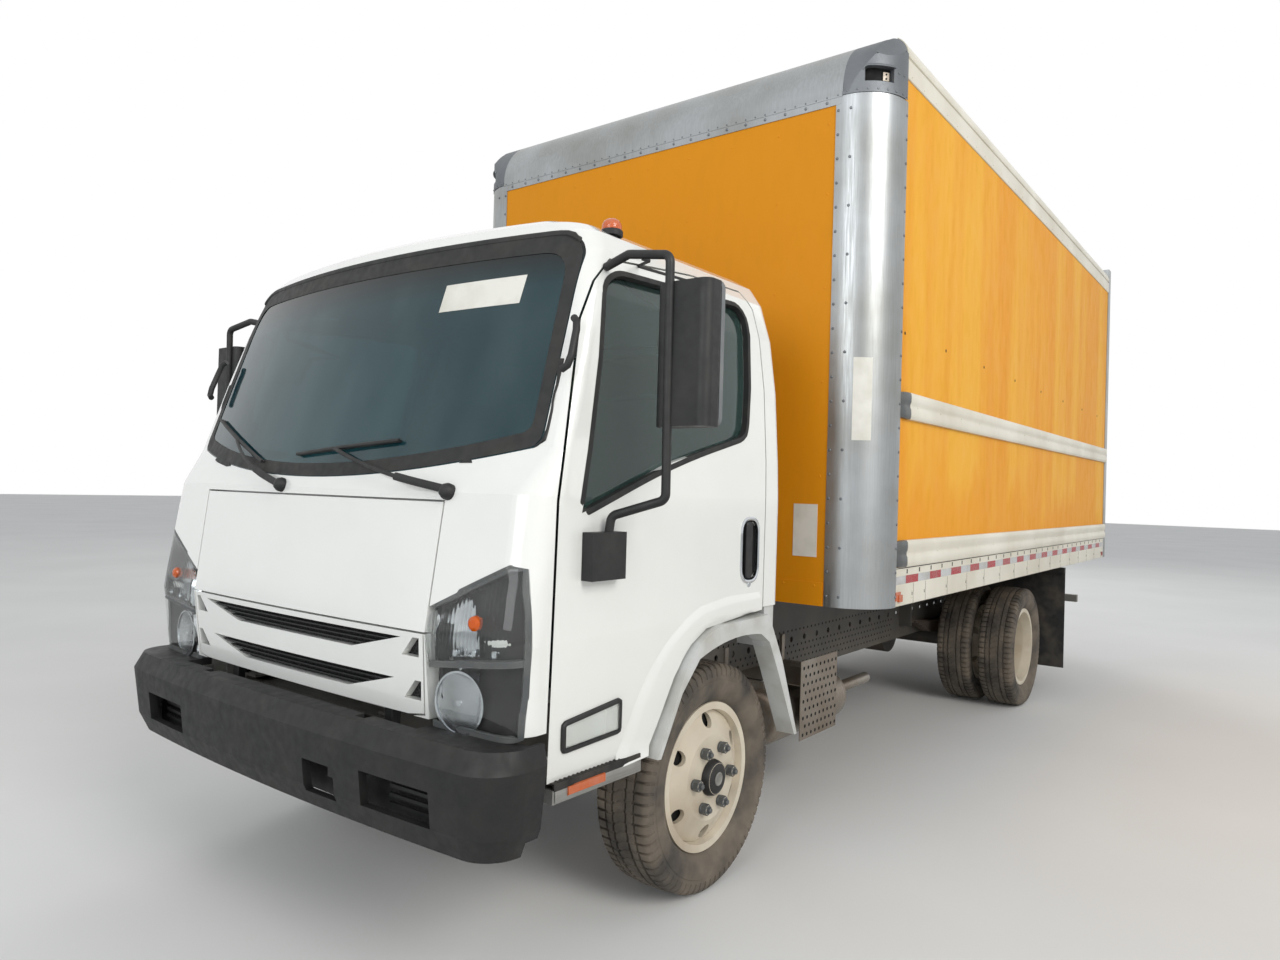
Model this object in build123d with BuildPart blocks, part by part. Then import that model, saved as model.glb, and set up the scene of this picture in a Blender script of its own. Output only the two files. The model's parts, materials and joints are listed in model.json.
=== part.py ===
from build123d import *
import os
from math import cos, radians, sin

# Box truck: cab-over chassis, aluminium van body, roll-up rear door, single front and twin rear wheels.
# Millimetres, +X forward, +Y to the driver's side, +Z up. The origin is on the ground under the middle
# of the overall length, on the centre line.

os.makedirs("parts", exist_ok=True)

# Overall stations
wheelbase = 3810
front_overhang = 1200
rear_overhang = 2320
front_axle_x = (wheelbase + rear_overhang - front_overhang) / 2
rear_axle_x = front_axle_x - wheelbase

# Tyres and wheels
tyre_r = 405
tyre_w = 225
bead_r = 248
lip_r = 262
rim_half_w = 85
lip_t = 8
front_track_half = 833
rear_track_half = 825
dual_half = 137.5
stud_circle_r = 111
stud_count = 6
axle_z = tyre_r

# Ladder frame
frame_half_w = 425
frame_top = 723
frame_depth = 253
frame_flange = 70
frame_wall = 8
frame_bottom = frame_top - frame_depth

# Cab tilt: hinge line, its pins on the frame and the arms under the cab
tilt_x = front_axle_x + 1110
tilt_z = 620
tilt_pin_r = 12
tilt_eye_r = 28
tilt_arm_y = (430, 455)

# Steering
kingpin_y = 700
kingpin_r = 15
steer_limit = 38
arm_length = 150
tie_z = 318

# Van body
box_half_w = 1219
box_front = front_axle_x - 752
box_length = 5016
box_rear = box_front - box_length
box_base = 951
box_top = 3412
box_wall = 38
nose_r = 200
nose_skin = 5
floor_top = 1112
floor_t = 32
roof_t = 30
rail_proud = 6
cap_drop = 305

# Cab
seat_deck = 1000
cab_rear = front_axle_x - 334
cab_wall = 60
cab_skin = 28
panel_gap = 6
door_gap = 7
door_front = front_axle_x + 936
glass_t = 5
step_z = 617
step_depth = 52

# Clearances
soft_gap = 0.3
pin_gap = 0.3


def at(station):
    """An X value from a distance ahead of the front axle."""
    return front_axle_x + station


def block(x, y, z, mode=Mode.ADD):
    """A box between two corners, each axis given as its pair of limits."""
    middle = ((x[0] + x[1]) / 2, (y[0] + y[1]) / 2, (z[0] + z[1]) / 2)
    with Locations(middle):
        Box(abs(x[1] - x[0]), abs(y[1] - y[0]), abs(z[1] - z[0]), mode=mode)


def rod(radius, start, end, mode=Mode.ADD):
    """A round bar from one point to another."""
    a, b = Vector(*start), Vector(*end)
    with Locations(Plane((a + b) / 2, z_dir=b - a)):
        Cylinder(radius, (b - a).length, mode=mode)


def save(builder, name):
    """Label a finished piece and write it."""
    builder.part.label = name
    export_step(builder.part, f"parts/{name}.step")


def outline(points):
    """A closed straight-sided face from its corners, for use inside a sketch."""
    Polygon(*points, align=None)


# Tyres: one section revolved about the axle line, crowned tread, bulged side wall, bead on the rim
def tyre(centre_y):
    half = tyre_w / 2
    tread_half = half - 18
    bead_half = rim_half_w - lip_t - soft_gap
    with BuildSketch(Plane.YZ) as section:
        with BuildLine():
            Polyline(
                (centre_y - bead_half, bead_r),
                (centre_y - bead_half, lip_r + 4),
                (centre_y - half, bead_r + 75),
                (centre_y - half + 6, tyre_r - 30),
                (centre_y - tread_half, tyre_r - 7),
            )
            ThreePointArc(
                (centre_y - tread_half, tyre_r - 7),
                (centre_y, tyre_r),
                (centre_y + tread_half, tyre_r - 7),
            )
            Polyline(
                (centre_y + tread_half, tyre_r - 7),
                (centre_y + half - 6, tyre_r - 30),
                (centre_y + half, bead_r + 75),
                (centre_y + bead_half, lip_r + 4),
                (centre_y + bead_half, bead_r),
                (centre_y - bead_half, bead_r),
            )
        make_face()
    return section.sketch


def turned(sketch, x, z):
    """Revolve a section, drawn from the axle line up, about a line along Y, and set it at its axle."""
    revolve(sketch.moved(Location((x, 0, z))), Axis((x, 0, z), (0, 1, 0)), 360)


for side, name in ((1, "left"), (-1, "right")):
    with BuildPart() as tyre_front:
        turned(tyre(side * front_track_half), front_axle_x, axle_z)
    save(tyre_front, f"tyre_front_{name}")
    with BuildPart() as tyres_rear:
        for shift in (-dual_half, dual_half):
            turned(tyre(side * (rear_track_half + shift)), rear_axle_x, axle_z)
    save(tyres_rear, f"tyres_rear_{name}")

# Wheels: rim barrel, dished disc with hand holes, drum and hub, all turned as one section
barrel_r = bead_r - 12
disc_t = 12
pad_r = 150
pad_y = 932
drum_r = 165
drum_wall = 14
hub_r = 62
stub_r = 36
hand_hole_r = 26
hand_circle_r = 198
nut_r = 17
nut_length = 30


def barrel(centre_y):
    """Half section of a rim between its two lips."""
    a, b = centre_y - rim_half_w, centre_y + rim_half_w
    with BuildSketch(Plane.YZ) as section:
        outline(
            [
                (a, lip_r),
                (a, barrel_r),
                (centre_y - 30, barrel_r - 10),
                (centre_y + 30, barrel_r - 10),
                (b, barrel_r),
                (b, lip_r),
                (b - lip_t, lip_r),
                (b - lip_t, bead_r - soft_gap),
                (a + lip_t, bead_r - soft_gap),
                (a + lip_t, lip_r),
            ]
        )
    return section.sketch


# The wheels' places round their axles: side, name, angle from the top to the first stud
for side, name, stud_phase in ((1, "left", 30), (-1, "right", 0)):
    with BuildPart() as rim_front:
        turned(barrel(side * front_track_half), front_axle_x, axle_z)
        with BuildSketch(Plane.YZ) as dish:
            outline(
                [
                    (side * pad_y, hub_r),
                    (side * pad_y, pad_r),
                    (side * (pad_y - 40), barrel_r - 6),
                    (side * (pad_y - 40 - disc_t * 1.6), barrel_r - 6),
                    (side * (pad_y - disc_t), pad_r - 6),
                    (side * (pad_y - disc_t), hub_r),
                ]
            )
        turned(dish.sketch, front_axle_x, axle_z)
        with Locations(Plane((front_axle_x, side * (pad_y - 30), axle_z), z_dir=(0, side, 0))):
            with PolarLocations(hand_circle_r, stud_count, start_angle=stud_phase + 30):
                Cylinder(hand_hole_r, 90, mode=Mode.SUBTRACT)
            with PolarLocations(stud_circle_r, stud_count, start_angle=stud_phase):
                Cylinder(nut_r, 30 + nut_length, align=(Align.CENTER, Align.CENTER, Align.MIN))
        with BuildSketch(Plane.YZ) as hub:
            outline(
                [
                    (side * (pad_y - 182), drum_r),
                    (side * (pad_y - disc_t), drum_r - 25),
                    (side * (pad_y - disc_t), hub_r),
                    (side * (pad_y + 28), hub_r - 8),
                    (side * (pad_y + 28), 0),
                    (side * (pad_y + 18), 0),
                    (side * (pad_y + 10), stub_r + pin_gap),
                    (side * (pad_y - 60), stub_r + pin_gap),
                    (side * (pad_y - 60), drum_r - drum_wall - 20),
                    (side * (pad_y - 182), drum_r - drum_wall),
                ]
            )
        turned(hub.sketch, front_axle_x, axle_z)
    save(rim_front, f"rim_front_{name}")

    with BuildPart() as rims_rear:
        for shift in (-dual_half, dual_half):
            turned(barrel(side * (rear_track_half + shift)), rear_axle_x, axle_z)
        inner = rear_track_half - dual_half + rim_half_w - 40
        outer = rear_track_half + dual_half - rim_half_w + 40
        with BuildSketch(Plane.YZ) as dishes:
            outline(
                [
                    (side * (rear_track_half + disc_t), hub_r),
                    (side * (rear_track_half + disc_t), pad_r),
                    (side * outer, barrel_r - 6),
                    (side * (outer - disc_t * 1.6), barrel_r - 6),
                    (side * rear_track_half, pad_r + 8),
                    (side * (inner + disc_t * 1.6), barrel_r - 6),
                    (side * inner, barrel_r - 6),
                    (side * (rear_track_half - disc_t), pad_r),
                    (side * (rear_track_half - disc_t), hub_r),
                ]
            )
        turned(dishes.sketch, rear_axle_x, axle_z)
        with Locations(Plane((rear_axle_x, side * rear_track_half, axle_z), z_dir=(0, side, 0))):
            with PolarLocations(hand_circle_r, stud_count, start_angle=stud_phase + 30):
                Cylinder(hand_hole_r, 140, mode=Mode.SUBTRACT)
            with PolarLocations(stud_circle_r, stud_count, start_angle=stud_phase):
                Cylinder(nut_r, nut_length + disc_t, align=(Align.CENTER, Align.CENTER, Align.MIN))
        with BuildSketch(Plane.YZ) as hub:
            outline(
                [
                    (side * (rear_track_half - 190), drum_r),
                    (side * (rear_track_half - disc_t), drum_r - 25),
                    (side * (rear_track_half - disc_t), hub_r + 2),
                    (side * (rear_track_half + 90), hub_r + 2),
                    (side * (rear_track_half + 90), 0),
                    (side * (rear_track_half + 40), 0),
                    (side * (rear_track_half + 40), stub_r + pin_gap),
                    (side * (rear_track_half - 60), stub_r + pin_gap),
                    (side * (rear_track_half - 60), drum_r - drum_wall - 20),
                    (side * (rear_track_half - 190), drum_r - drum_wall),
                ]
            )
        turned(hub.sketch, rear_axle_x, axle_z)
    save(rims_rear, f"rims_rear_{name}")

# Front axle: forged beam dropped between its spring seats, with a boss for each kingpin
beam_drop = 95
beam_h = 78
boss_r = 36
boss_h = 90
boss_run = 80
spring_y = 385
spring_half_w = 35
seat_top = axle_z - 33
with BuildPart() as front_axle:
    with BuildSketch(Plane.YZ.offset(front_axle_x)) as beam:
        outline(
            [
                (-kingpin_y, axle_z - 35),
                (boss_run - kingpin_y, axle_z - 38),
                (-spring_y - 90, seat_top - beam_h),
                (spring_y + 90, seat_top - beam_h),
                (kingpin_y - boss_run, axle_z - 38),
                (kingpin_y, axle_z - 35),
                (kingpin_y, axle_z + 30),
                (spring_y + 120, seat_top),
                (-spring_y - 120, seat_top),
                (-kingpin_y, axle_z + 30),
            ]
        )
    extrude(amount=35, both=True)
    for side in (1, -1):
        with Locations((front_axle_x, side * kingpin_y, axle_z)):
            Cylinder(boss_r, boss_h)
        for face in (1, -1):
            block(
                (front_axle_x + face * 12, front_axle_x + face * 40),
                (-spring_y + 60, spring_y - 60),
                (seat_top - beam_h + 16, seat_top - 16),
                Mode.SUBTRACT,
            )
    for side in (1, -1):
        with Locations((front_axle_x, side * kingpin_y, axle_z)):
            Cylinder(kingpin_r + pin_gap, boss_h + 90, mode=Mode.SUBTRACT)
save(front_axle, "front_axle")

# Knuckles: two lugs and a kingpin round the axle's boss, a stub for the hub, an arm for the tie rod
lug_t = 40
lug_gap = 3
plate_y = 744
plate_t = 28
for side, name in ((1, "left"), (-1, "right")):
    inner_face, outer_face = side * plate_y, side * (plate_y + plate_t)
    with BuildPart() as knuckle:
        for face in (1, -1):
            near = axle_z + face * (boss_h / 2 + lug_gap)
            far = near + face * lug_t
            with Locations((front_axle_x, side * kingpin_y, (near + far) / 2)):
                Cylinder(boss_r, lug_t)
            block(
                (front_axle_x - boss_r, front_axle_x + boss_r),
                (side * kingpin_y, inner_face + side * 4),
                (near, far),
            )
        with Locations((front_axle_x, side * kingpin_y, axle_z)):
            Cylinder(kingpin_r, boss_h + 2 * lug_gap + 2)
        reach = boss_h / 2 + lug_gap + lug_t
        block(
            (front_axle_x - 45, front_axle_x + 45),
            (inner_face, outer_face),
            (axle_z - reach, axle_z + reach),
        )
        root = (front_axle_x, outer_face - side * 4, axle_z)
        rod(stub_r, root, (front_axle_x, side * (pad_y + 4), axle_z))
        block(
            (front_axle_x - arm_length, front_axle_x - boss_r / 2),
            (side * (kingpin_y - 18), side * (kingpin_y + 18)),
            (tie_z + 20, tie_z + 42),
        )
        with Locations((front_axle_x - arm_length, side * kingpin_y, tie_z + 31)):
            Cylinder(24, 22)
        with Locations((front_axle_x - arm_length, side * kingpin_y, tie_z + 6)):
            Cylinder(9, 50)
    save(knuckle, f"knuckle_{name}")

with BuildPart() as tie_rod:
    rod_x = front_axle_x - arm_length
    rod(14, (rod_x, -kingpin_y + 20, tie_z), (rod_x, kingpin_y - 20, tie_z))
    for side in (1, -1):
        with Locations((rod_x, side * kingpin_y, tie_z)):
            Cylinder(24, 34)
    for side in (1, -1):
        with Locations((rod_x, side * kingpin_y, tie_z)):
            Cylinder(9 + pin_gap, 60, mode=Mode.SUBTRACT)
save(tie_rod, "tie_rod")

# Rear axle: housing with its differential, and the propeller shaft flanged to it
shaft_r = 45
shaft_front = at(-958)
diff_r = 165
housing_r = 58
rear_stub = rear_track_half + 30
with BuildPart() as rear_axle:
    tube_end = rear_track_half - 62
    rod(housing_r, (rear_axle_x, -tube_end, axle_z), (rear_axle_x, tube_end, axle_z))
    rod(stub_r, (rear_axle_x, -rear_stub, axle_z), (rear_axle_x, rear_stub, axle_z))
    with BuildSketch(Plane.XZ.offset(-90)) as banjo:
        with Locations((rear_axle_x, axle_z)):
            Circle(diff_r)
    extrude(amount=180)
    with BuildSketch(Plane.YZ.offset(rear_axle_x + diff_r - 30)) as nose_root:
        with Locations((0, axle_z)):
            Circle(110)
    with BuildSketch(Plane.YZ.offset(rear_axle_x + diff_r + 170)) as nose_tip:
        with Locations((0, axle_z + 20)):
            Circle(60)
    loft([nose_root.sketch, nose_tip.sketch])
    rod(shaft_r, (rear_axle_x + diff_r + 165, 0, axle_z + 20), (shaft_front, 0, axle_z + 110))
save(rear_axle, "rear_axle")

# Leaf springs: stacked leaves, each shorter than the one above, bent to one arc, with eyes at the ends
leaf_t = 11
front_span = 600
rear_span = 650
rear_spring_y = 470
rear_seat = axle_z + housing_r


def leaf_pack(x, y, base, span, count, rise):
    """Leaves from the shortest at the bottom to the master leaf, sagging to their seat at the axle."""
    for i in range(count):
        half = span * (0.45 + 0.55 * i / (count - 1))
        lift = rise * (half / span) ** 2
        low, high = base + i * leaf_t, base + (i + 1) * leaf_t
        with BuildSketch(Plane.XZ.offset(-y - spring_half_w)) as leaf:
            with BuildLine():
                ThreePointArc((x - half, low + lift), (x, low), (x + half, low + lift))
                Line((x + half, low + lift), (x + half, high + lift))
                ThreePointArc((x + half, high + lift), (x, high), (x - half, high + lift))
                Line((x - half, high + lift), (x - half, low + lift))
            make_face()
        extrude(leaf.sketch, amount=2 * spring_half_w)
    eye_z = base + (count - 0.5) * leaf_t + rise
    for end in (-1, 1):
        with BuildSketch(Plane.XZ.offset(-y - spring_half_w)) as eye:
            with Locations((x + end * span, eye_z)):
                Circle(21)
        extrude(eye.sketch, amount=2 * spring_half_w)
    return eye_z


with BuildPart() as leaf_springs:
    for side in (1, -1):
        leaf_pack(front_axle_x, side * spring_y, seat_top, front_span, 3, 24)
        leaf_pack(rear_axle_x, side * rear_spring_y, rear_seat, rear_span, 7, 60)
save(leaf_springs, "leaf_springs")

# Ladder frame: two channels facing inwards with hangers for the springs, and the cross members between them
frame_front = at(1000)
frame_rear = box_rear + 60
front_eye_z = seat_top + 2.5 * leaf_t + 24
rear_eye_z = rear_seat + 6.5 * leaf_t + 60
rail_hole_r = 16
rail_hole_z = frame_top - 80
rail_hole_pitch = 150
rail_hole_count = 24
web_half = frame_half_w - frame_wall
with BuildPart() as frame_rails:
    for side in (1, -1):
        with BuildSketch(Plane.YZ.offset(frame_rear)):
            outer, inner, web = side * frame_half_w, side * (frame_half_w - frame_flange), side * web_half
            outline(
                [
                    (outer, frame_bottom),
                    (outer, frame_top),
                    (inner, frame_top),
                    (inner, frame_top - frame_wall),
                    (web, frame_top - frame_wall),
                    (web, frame_bottom + frame_wall),
                    (inner, frame_bottom + frame_wall),
                    (inner, frame_bottom),
                ]
            )
        extrude(amount=frame_front - frame_rear)
    for i in range(rail_hole_count):
        x = at(-520 - i * rail_hole_pitch)
        start, end = (x, -frame_half_w - 5, rail_hole_z), (x, frame_half_w + 5, rail_hole_z)
        rod(rail_hole_r, start, end, Mode.SUBTRACT)
    for side in (1, -1):
        for end in (1, -1):
            x = front_axle_x + end * (front_span + 21.5)
            block(
                (x - 8 + end * 8, x + 8 + end * 8),
                (side * (spring_y - spring_half_w), side * (spring_y + spring_half_w)),
                (front_eye_z - 30, frame_bottom),
            )
            x = rear_axle_x + end * (rear_span + 21.5)
            block(
                (x - 10 + end * 10, x + 10 + end * 10),
                (side * frame_half_w, side * (rear_spring_y + spring_half_w)),
                (rear_eye_z - 40, frame_top - 20),
            )
    for side in (1, -1):
        ear_y = (side * web_half, side * frame_half_w)
        block((frame_front, tilt_x), ear_y, (tilt_z - tilt_eye_r, tilt_z + tilt_eye_r))
        rod(tilt_eye_r, (tilt_x, side * web_half, tilt_z), (tilt_x, side * frame_half_w, tilt_z))
        rod(tilt_pin_r, (tilt_x, side * web_half, tilt_z), (tilt_x, side * (tilt_arm_y[1] + 4), tilt_z))
        cab_rest = (side * (frame_half_w - frame_flange), side * frame_half_w)
        block((at(-300), at(-240)), cab_rest, (frame_top, seat_deck - soft_gap))
save(frame_rails, "frame_rails")

member_z = (frame_top - 135, frame_top - 25)
member_stations = (940, -1000, -1900, -2900, -4600, -5650)
with BuildPart() as cross_members:
    for station in member_stations:
        block((at(station) - 35, at(station) + 35), (-web_half, web_half), member_z)
        block(
            (at(station) - 27, at(station) + 45),
            (-web_half + 8, web_half - 8),
            (member_z[0] + 8, member_z[1] - 8),
            Mode.SUBTRACT,
        )
save(cross_members, "cross_members")

# Engine with its gearbox, one plain block, and the radiator ahead of it
with BuildPart() as engine:
    with BuildSketch(Plane.XZ.offset(-320)) as engine_side:
        outline(
            [
                (at(440), 500),
                (at(440), 960),
                (at(-380), 960),
                (at(-480), 780),
                (at(-950), 700),
                (at(-950), 480),
                (at(-400), 480),
                (at(-300), 430),
                (at(300), 430),
            ]
        )
    extrude(amount=640)
    for station in (180, -820):
        block((at(station), at(station) + 90), (-web_half, web_half), (560, 640))
save(engine, "engine")
with BuildPart() as radiator:
    block((at(620), at(690)), (-340, 340), (480, 800))
    block((at(611), at(699)), (-350, 350), (790, 815))
    block((at(611), at(699)), (-350, 350), (470, 495))
save(radiator, "radiator")

# Exhaust: silencer can under the driver's side with its perforated shield, and the tail pipe
can_r = 122
can_y = 640
can_z = 400
shield_y = 790
with BuildPart() as exhaust:
    rod(can_r, (at(-820), can_y, can_z), (at(-1560), can_y, can_z))
    fillet(exhaust.edges().filter_by(GeomType.CIRCLE), 40)
    for x in (-900, -1460):
        block((at(x) - 15, at(x) + 15), (frame_half_w, can_y), (can_z + can_r - 20, can_z + can_r + 30))
        strap_x = (at(x) - 15, at(x) + 15)
        block(strap_x, (frame_half_w, frame_half_w + 10), (can_z + can_r - 20, frame_top - 40))
    block((at(-1340), at(-960)), (shield_y, shield_y + 3), (300, 660))
    block((at(-1340), at(-960)), (frame_half_w, shield_y + 3), (can_z + can_r + 26, can_z + can_r + 30))
    rod(30, (at(-1540), can_y, can_z), (at(-2050), can_y, can_z))
save(exhaust, "exhaust")

# Fuel tank and battery box, on the kerb side of the frame
with BuildPart() as fuel_tank:
    block((at(-2250), at(-1350)), (-850, -frame_half_w - 40), (360, 700))
    fillet(fuel_tank.edges().filter_by(Axis.X), 45)
    for x in (-1500, -1800, -2100):
        block((at(x) - 25, at(x) + 25), (-frame_half_w - 45, -frame_half_w), (400, 680))
save(fuel_tank, "fuel_tank")

with BuildPart() as battery_box:
    block((at(-1200), at(-720)), (-830, -frame_half_w), (400, 690))
    fillet(battery_box.edges().filter_by(Axis.Z), 20)
save(battery_box, "battery_box")

# Van body, from the frame up: long sills, cross bearers, floor
sill_half = 390
bearer_h = 102
floor_base = floor_top - floor_t
bearer_base = floor_base - bearer_h
nose_side = box_front - nose_r
frame_post = 90
post_w = 100
inner_half = box_half_w - rail_proud - box_wall
bearer_pitch = 406
with BuildPart() as box_sills:
    for side in (1, -1):
        block(
            (box_rear + frame_post, box_front - box_wall),
            (side * (sill_half - 35), side * (sill_half + 35)),
            (frame_top, bearer_base),
        )
save(box_sills, "box_sills")

with BuildPart() as box_bearers:
    bearers = int((box_length - frame_post - 300) / bearer_pitch)
    for i in range(bearers + 1):
        x = box_front - 180 - i * bearer_pitch
        with BuildSketch(Plane.XZ.offset(-inner_half)):
            outline(
                [
                    (x - 30, bearer_base),
                    (x + 30, bearer_base),
                    (x + 30, bearer_base + 8),
                    (x + 5, bearer_base + 8),
                    (x + 5, floor_base - 8),
                    (x + 30, floor_base - 8),
                    (x + 30, floor_base),
                    (x - 30, floor_base),
                    (x - 30, floor_base - 8),
                    (x - 5, floor_base - 8),
                    (x - 5, bearer_base + 8),
                    (x - 30, bearer_base + 8),
                ]
            )
        extrude(amount=2 * inner_half)
save(box_bearers, "box_bearers")

with BuildPart() as box_floor:
    floor_z = (floor_base, floor_top)
    block((box_rear + frame_post, box_front - box_wall), (-inner_half, inner_half), floor_z)
    for side in (1, -1):
        corner = (side * (box_half_w - nose_r), side * (inner_half + 1))
        block((nose_side, box_front), corner, floor_z, Mode.SUBTRACT)
save(box_floor, "box_floor")

side_top = box_top - roof_t
with BuildPart() as box_side_walls:
    for side in (1, -1):
        wall_y = (side * inner_half, side * (inner_half + box_wall))
        block((box_rear + frame_post, nose_side), wall_y, (box_base, side_top))
save(box_side_walls, "box_side_walls")

with BuildPart() as box_front_wall:
    front_half = box_half_w - nose_r
    block((box_front - box_wall, box_front), (-front_half, front_half), (box_base, box_top - nose_r))
save(box_front_wall, "box_front_wall")

with BuildPart() as box_roof:
    roof_half = box_half_w - rail_proud
    block((box_rear + frame_post, box_front - nose_r), (-roof_half, roof_half), (side_top, box_top))
save(box_roof, "box_roof")

# Aluminium nose: quarter-round sections up both front corners and across the front of the roof
cap_base = box_top - cap_drop
nose_flange = 22
nose_lap = 3
with BuildPart() as box_nose:
    for side in (1, -1):
        centre = (box_front - nose_r, side * (box_half_w - nose_r))
        with BuildSketch(Plane.XY.offset(box_base)) as post:
            with Locations(centre):
                Circle(nose_r + nose_lap)
                Circle(nose_r - nose_skin, mode=Mode.SUBTRACT)
            with Locations((centre[0] - 500, centre[1])):
                Rectangle(1000, 1000, mode=Mode.SUBTRACT)
            with Locations((centre[0] + 250, centre[1] - side * 500)):
                Rectangle(1000, 1000, mode=Mode.SUBTRACT)
            with Locations((box_front + nose_lap / 2, centre[1] - side * nose_flange / 2)):
                Rectangle(nose_lap, nose_flange)
        extrude(amount=cap_base - box_base)
    with BuildSketch(Plane.XZ.offset(-(box_half_w - nose_r))) as header:
        with Locations((box_front - nose_r, box_top - nose_r)):
            Circle(nose_r + nose_lap)
            Circle(nose_r - nose_skin, mode=Mode.SUBTRACT)
        with Locations((box_front - nose_r - 500, box_top - nose_r)):
            Rectangle(1000, 1000, mode=Mode.SUBTRACT)
        with Locations((box_front - nose_r + 250, box_top - nose_r - 500)):
            Rectangle(1000, 1000, mode=Mode.SUBTRACT)
        with Locations((box_front + nose_lap / 2, box_top - nose_r - 70)):
            Rectangle(nose_lap, 140)
    extrude(amount=2 * (box_half_w - nose_r))
save(box_nose, "box_nose")

# Corner castings: a ball corner over a short quarter-round, with an empty lamp recess
cap_proud = 6
cap_t = 16
with BuildPart() as corner_caps:
    for side in (1, -1):
        cx, cy, cz = box_front - nose_r, side * (box_half_w - nose_r), box_top - nose_r
        out_r = nose_r + cap_proud
        in_r = out_r - cap_t
        with BuildSketch(Plane((cx, cy, 0), x_dir=(1, 0, 0), z_dir=(0, -1, 0))) as cap:
            with BuildLine():
                Polyline((0, cz + in_r), (0, cz + out_r))
                RadiusArc((0, cz + out_r), (out_r, cz), out_r)
                Polyline((out_r, cz), (out_r, cap_base), (in_r, cap_base), (in_r, cz))
                RadiusArc((in_r, cz), (0, cz + in_r), -in_r)
            make_face()
        revolve(cap.sketch, Axis((cx, cy, 0), (0, 0, side)), 90)
        with Locations(Plane((cx + 0.72 * nose_r, cy + side * 0.72 * nose_r, cz + 20), z_dir=(1, side, 0))):
            Box(110, 58, 24, mode=Mode.SUBTRACT)
save(corner_caps, "corner_caps")

# Side rails: bottom rail, two rub rails and the top rail, each a named height band on both sides
# name of band: lowest, highest, how far it stands off the wall
rail_bands = ((box_base, floor_top, 6), (1118, 1235, 22), (1758, 1876, 22), (box_top - 75, box_top - 2, 8))
with BuildPart() as side_rails:
    wall_face = inner_half + box_wall
    for side in (1, -1):
        for low, high, proud in rail_bands:
            with BuildSketch(Plane.YZ.offset(box_rear + frame_post)):
                mid = (low + high) / 2
                if proud > 10:
                    outline(
                        [
                            (side * wall_face, low),
                            (side * (wall_face + 6), low),
                            (side * (wall_face + 6), low + 18),
                            (side * (wall_face + proud), low + 34),
                            (side * (wall_face + proud), low + 46),
                            (side * (wall_face + 9), mid),
                            (side * (wall_face + proud), high - 46),
                            (side * (wall_face + proud), high - 34),
                            (side * (wall_face + 6), high - 18),
                            (side * (wall_face + 6), high),
                            (side * wall_face, high),
                        ]
                    )
                else:
                    outline(
                        [
                            (side * wall_face, low),
                            (side * (wall_face + proud), low),
                            (side * (wall_face + proud), high),
                            (side * wall_face, high),
                        ]
                    )
            extrude(amount=nose_side - box_rear - frame_post)
save(side_rails, "side_rails")

# Rear portal and the roll-up door in it
door_half = box_half_w - post_w
door_top = box_top - 170
with BuildPart() as rear_frame:
    with BuildSketch(Plane.YZ.offset(box_rear)):
        with Locations((0, (box_base + box_top) / 2)):
            Rectangle(2 * box_half_w, box_top - box_base)
        with Locations((0, (floor_top + door_top) / 2)):
            Rectangle(2 * door_half, door_top - floor_top, mode=Mode.SUBTRACT)
    extrude(amount=frame_post)
save(rear_frame, "rear_frame")

slat_count = 8
curtain_t = 25
with BuildPart() as rollup_door:
    slat_h = (door_top - floor_top - 4) / slat_count
    face = box_rear + 30
    curtain_half = door_half - soft_gap
    curtain_z = (floor_top + soft_gap, door_top - soft_gap)
    block((face, face + curtain_t), (-curtain_half, curtain_half), curtain_z)
    for i in range(1, slat_count):
        z = floor_top + 2 + i * slat_h
        block((face - 1, face + 5), (-door_half, door_half), (z - 4, z + 4), Mode.SUBTRACT)
    block((face - 12, face), (-60, 60), (floor_top + 60, floor_top + 190))
save(rollup_door, "rollup_door")

# Step bumper at the rear: tread bar, drop legs, lower bar and braces
step_rear = rear_axle_x - rear_overhang
with BuildPart() as rear_bumper:
    block((step_rear, box_rear), (-1150, 1150), (floor_top - 130, floor_top - 75))
    block((step_rear + 20, box_rear - 40), (-1130, 1130), (floor_top - 110, floor_top - 70), Mode.SUBTRACT)
    for i in range(9):
        x = step_rear + 40 + i * 36
        if x < box_rear - 60:
            block((x, x + 12), (-1140, 1140), (floor_top - 112, floor_top - 77))
    for side in (1, -1):
        y = side * 720
        block((step_rear, step_rear + 50), (y - 35, y + 35), (510, floor_top - 128))
        with BuildSketch(Plane.XZ.offset(-y - 30)):
            outline(
                [
                    (step_rear + 30, 540),
                    (step_rear + 30, 600),
                    (box_rear + 10, box_base),
                    (box_rear + 80, box_base),
                ]
            )
        extrude(amount=60)
    block((step_rear, step_rear + 50), (-950, 950), (508, 572))
save(rear_bumper, "rear_bumper")

with BuildPart() as mud_flaps:
    for side in (1, -1):
        x = rear_axle_x - tyre_r - 185
        block((x, x + 9), (side * 560, side * 1190), (192, 916))
        block((x - 2, x + 38), (side * frame_half_w, side * 1190), (890, 930))
        block((x - 2, x + 38), (side * frame_half_w, side * (frame_half_w + 60)), (frame_top - 80, 930))
save(mud_flaps, "mud_flaps")

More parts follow.
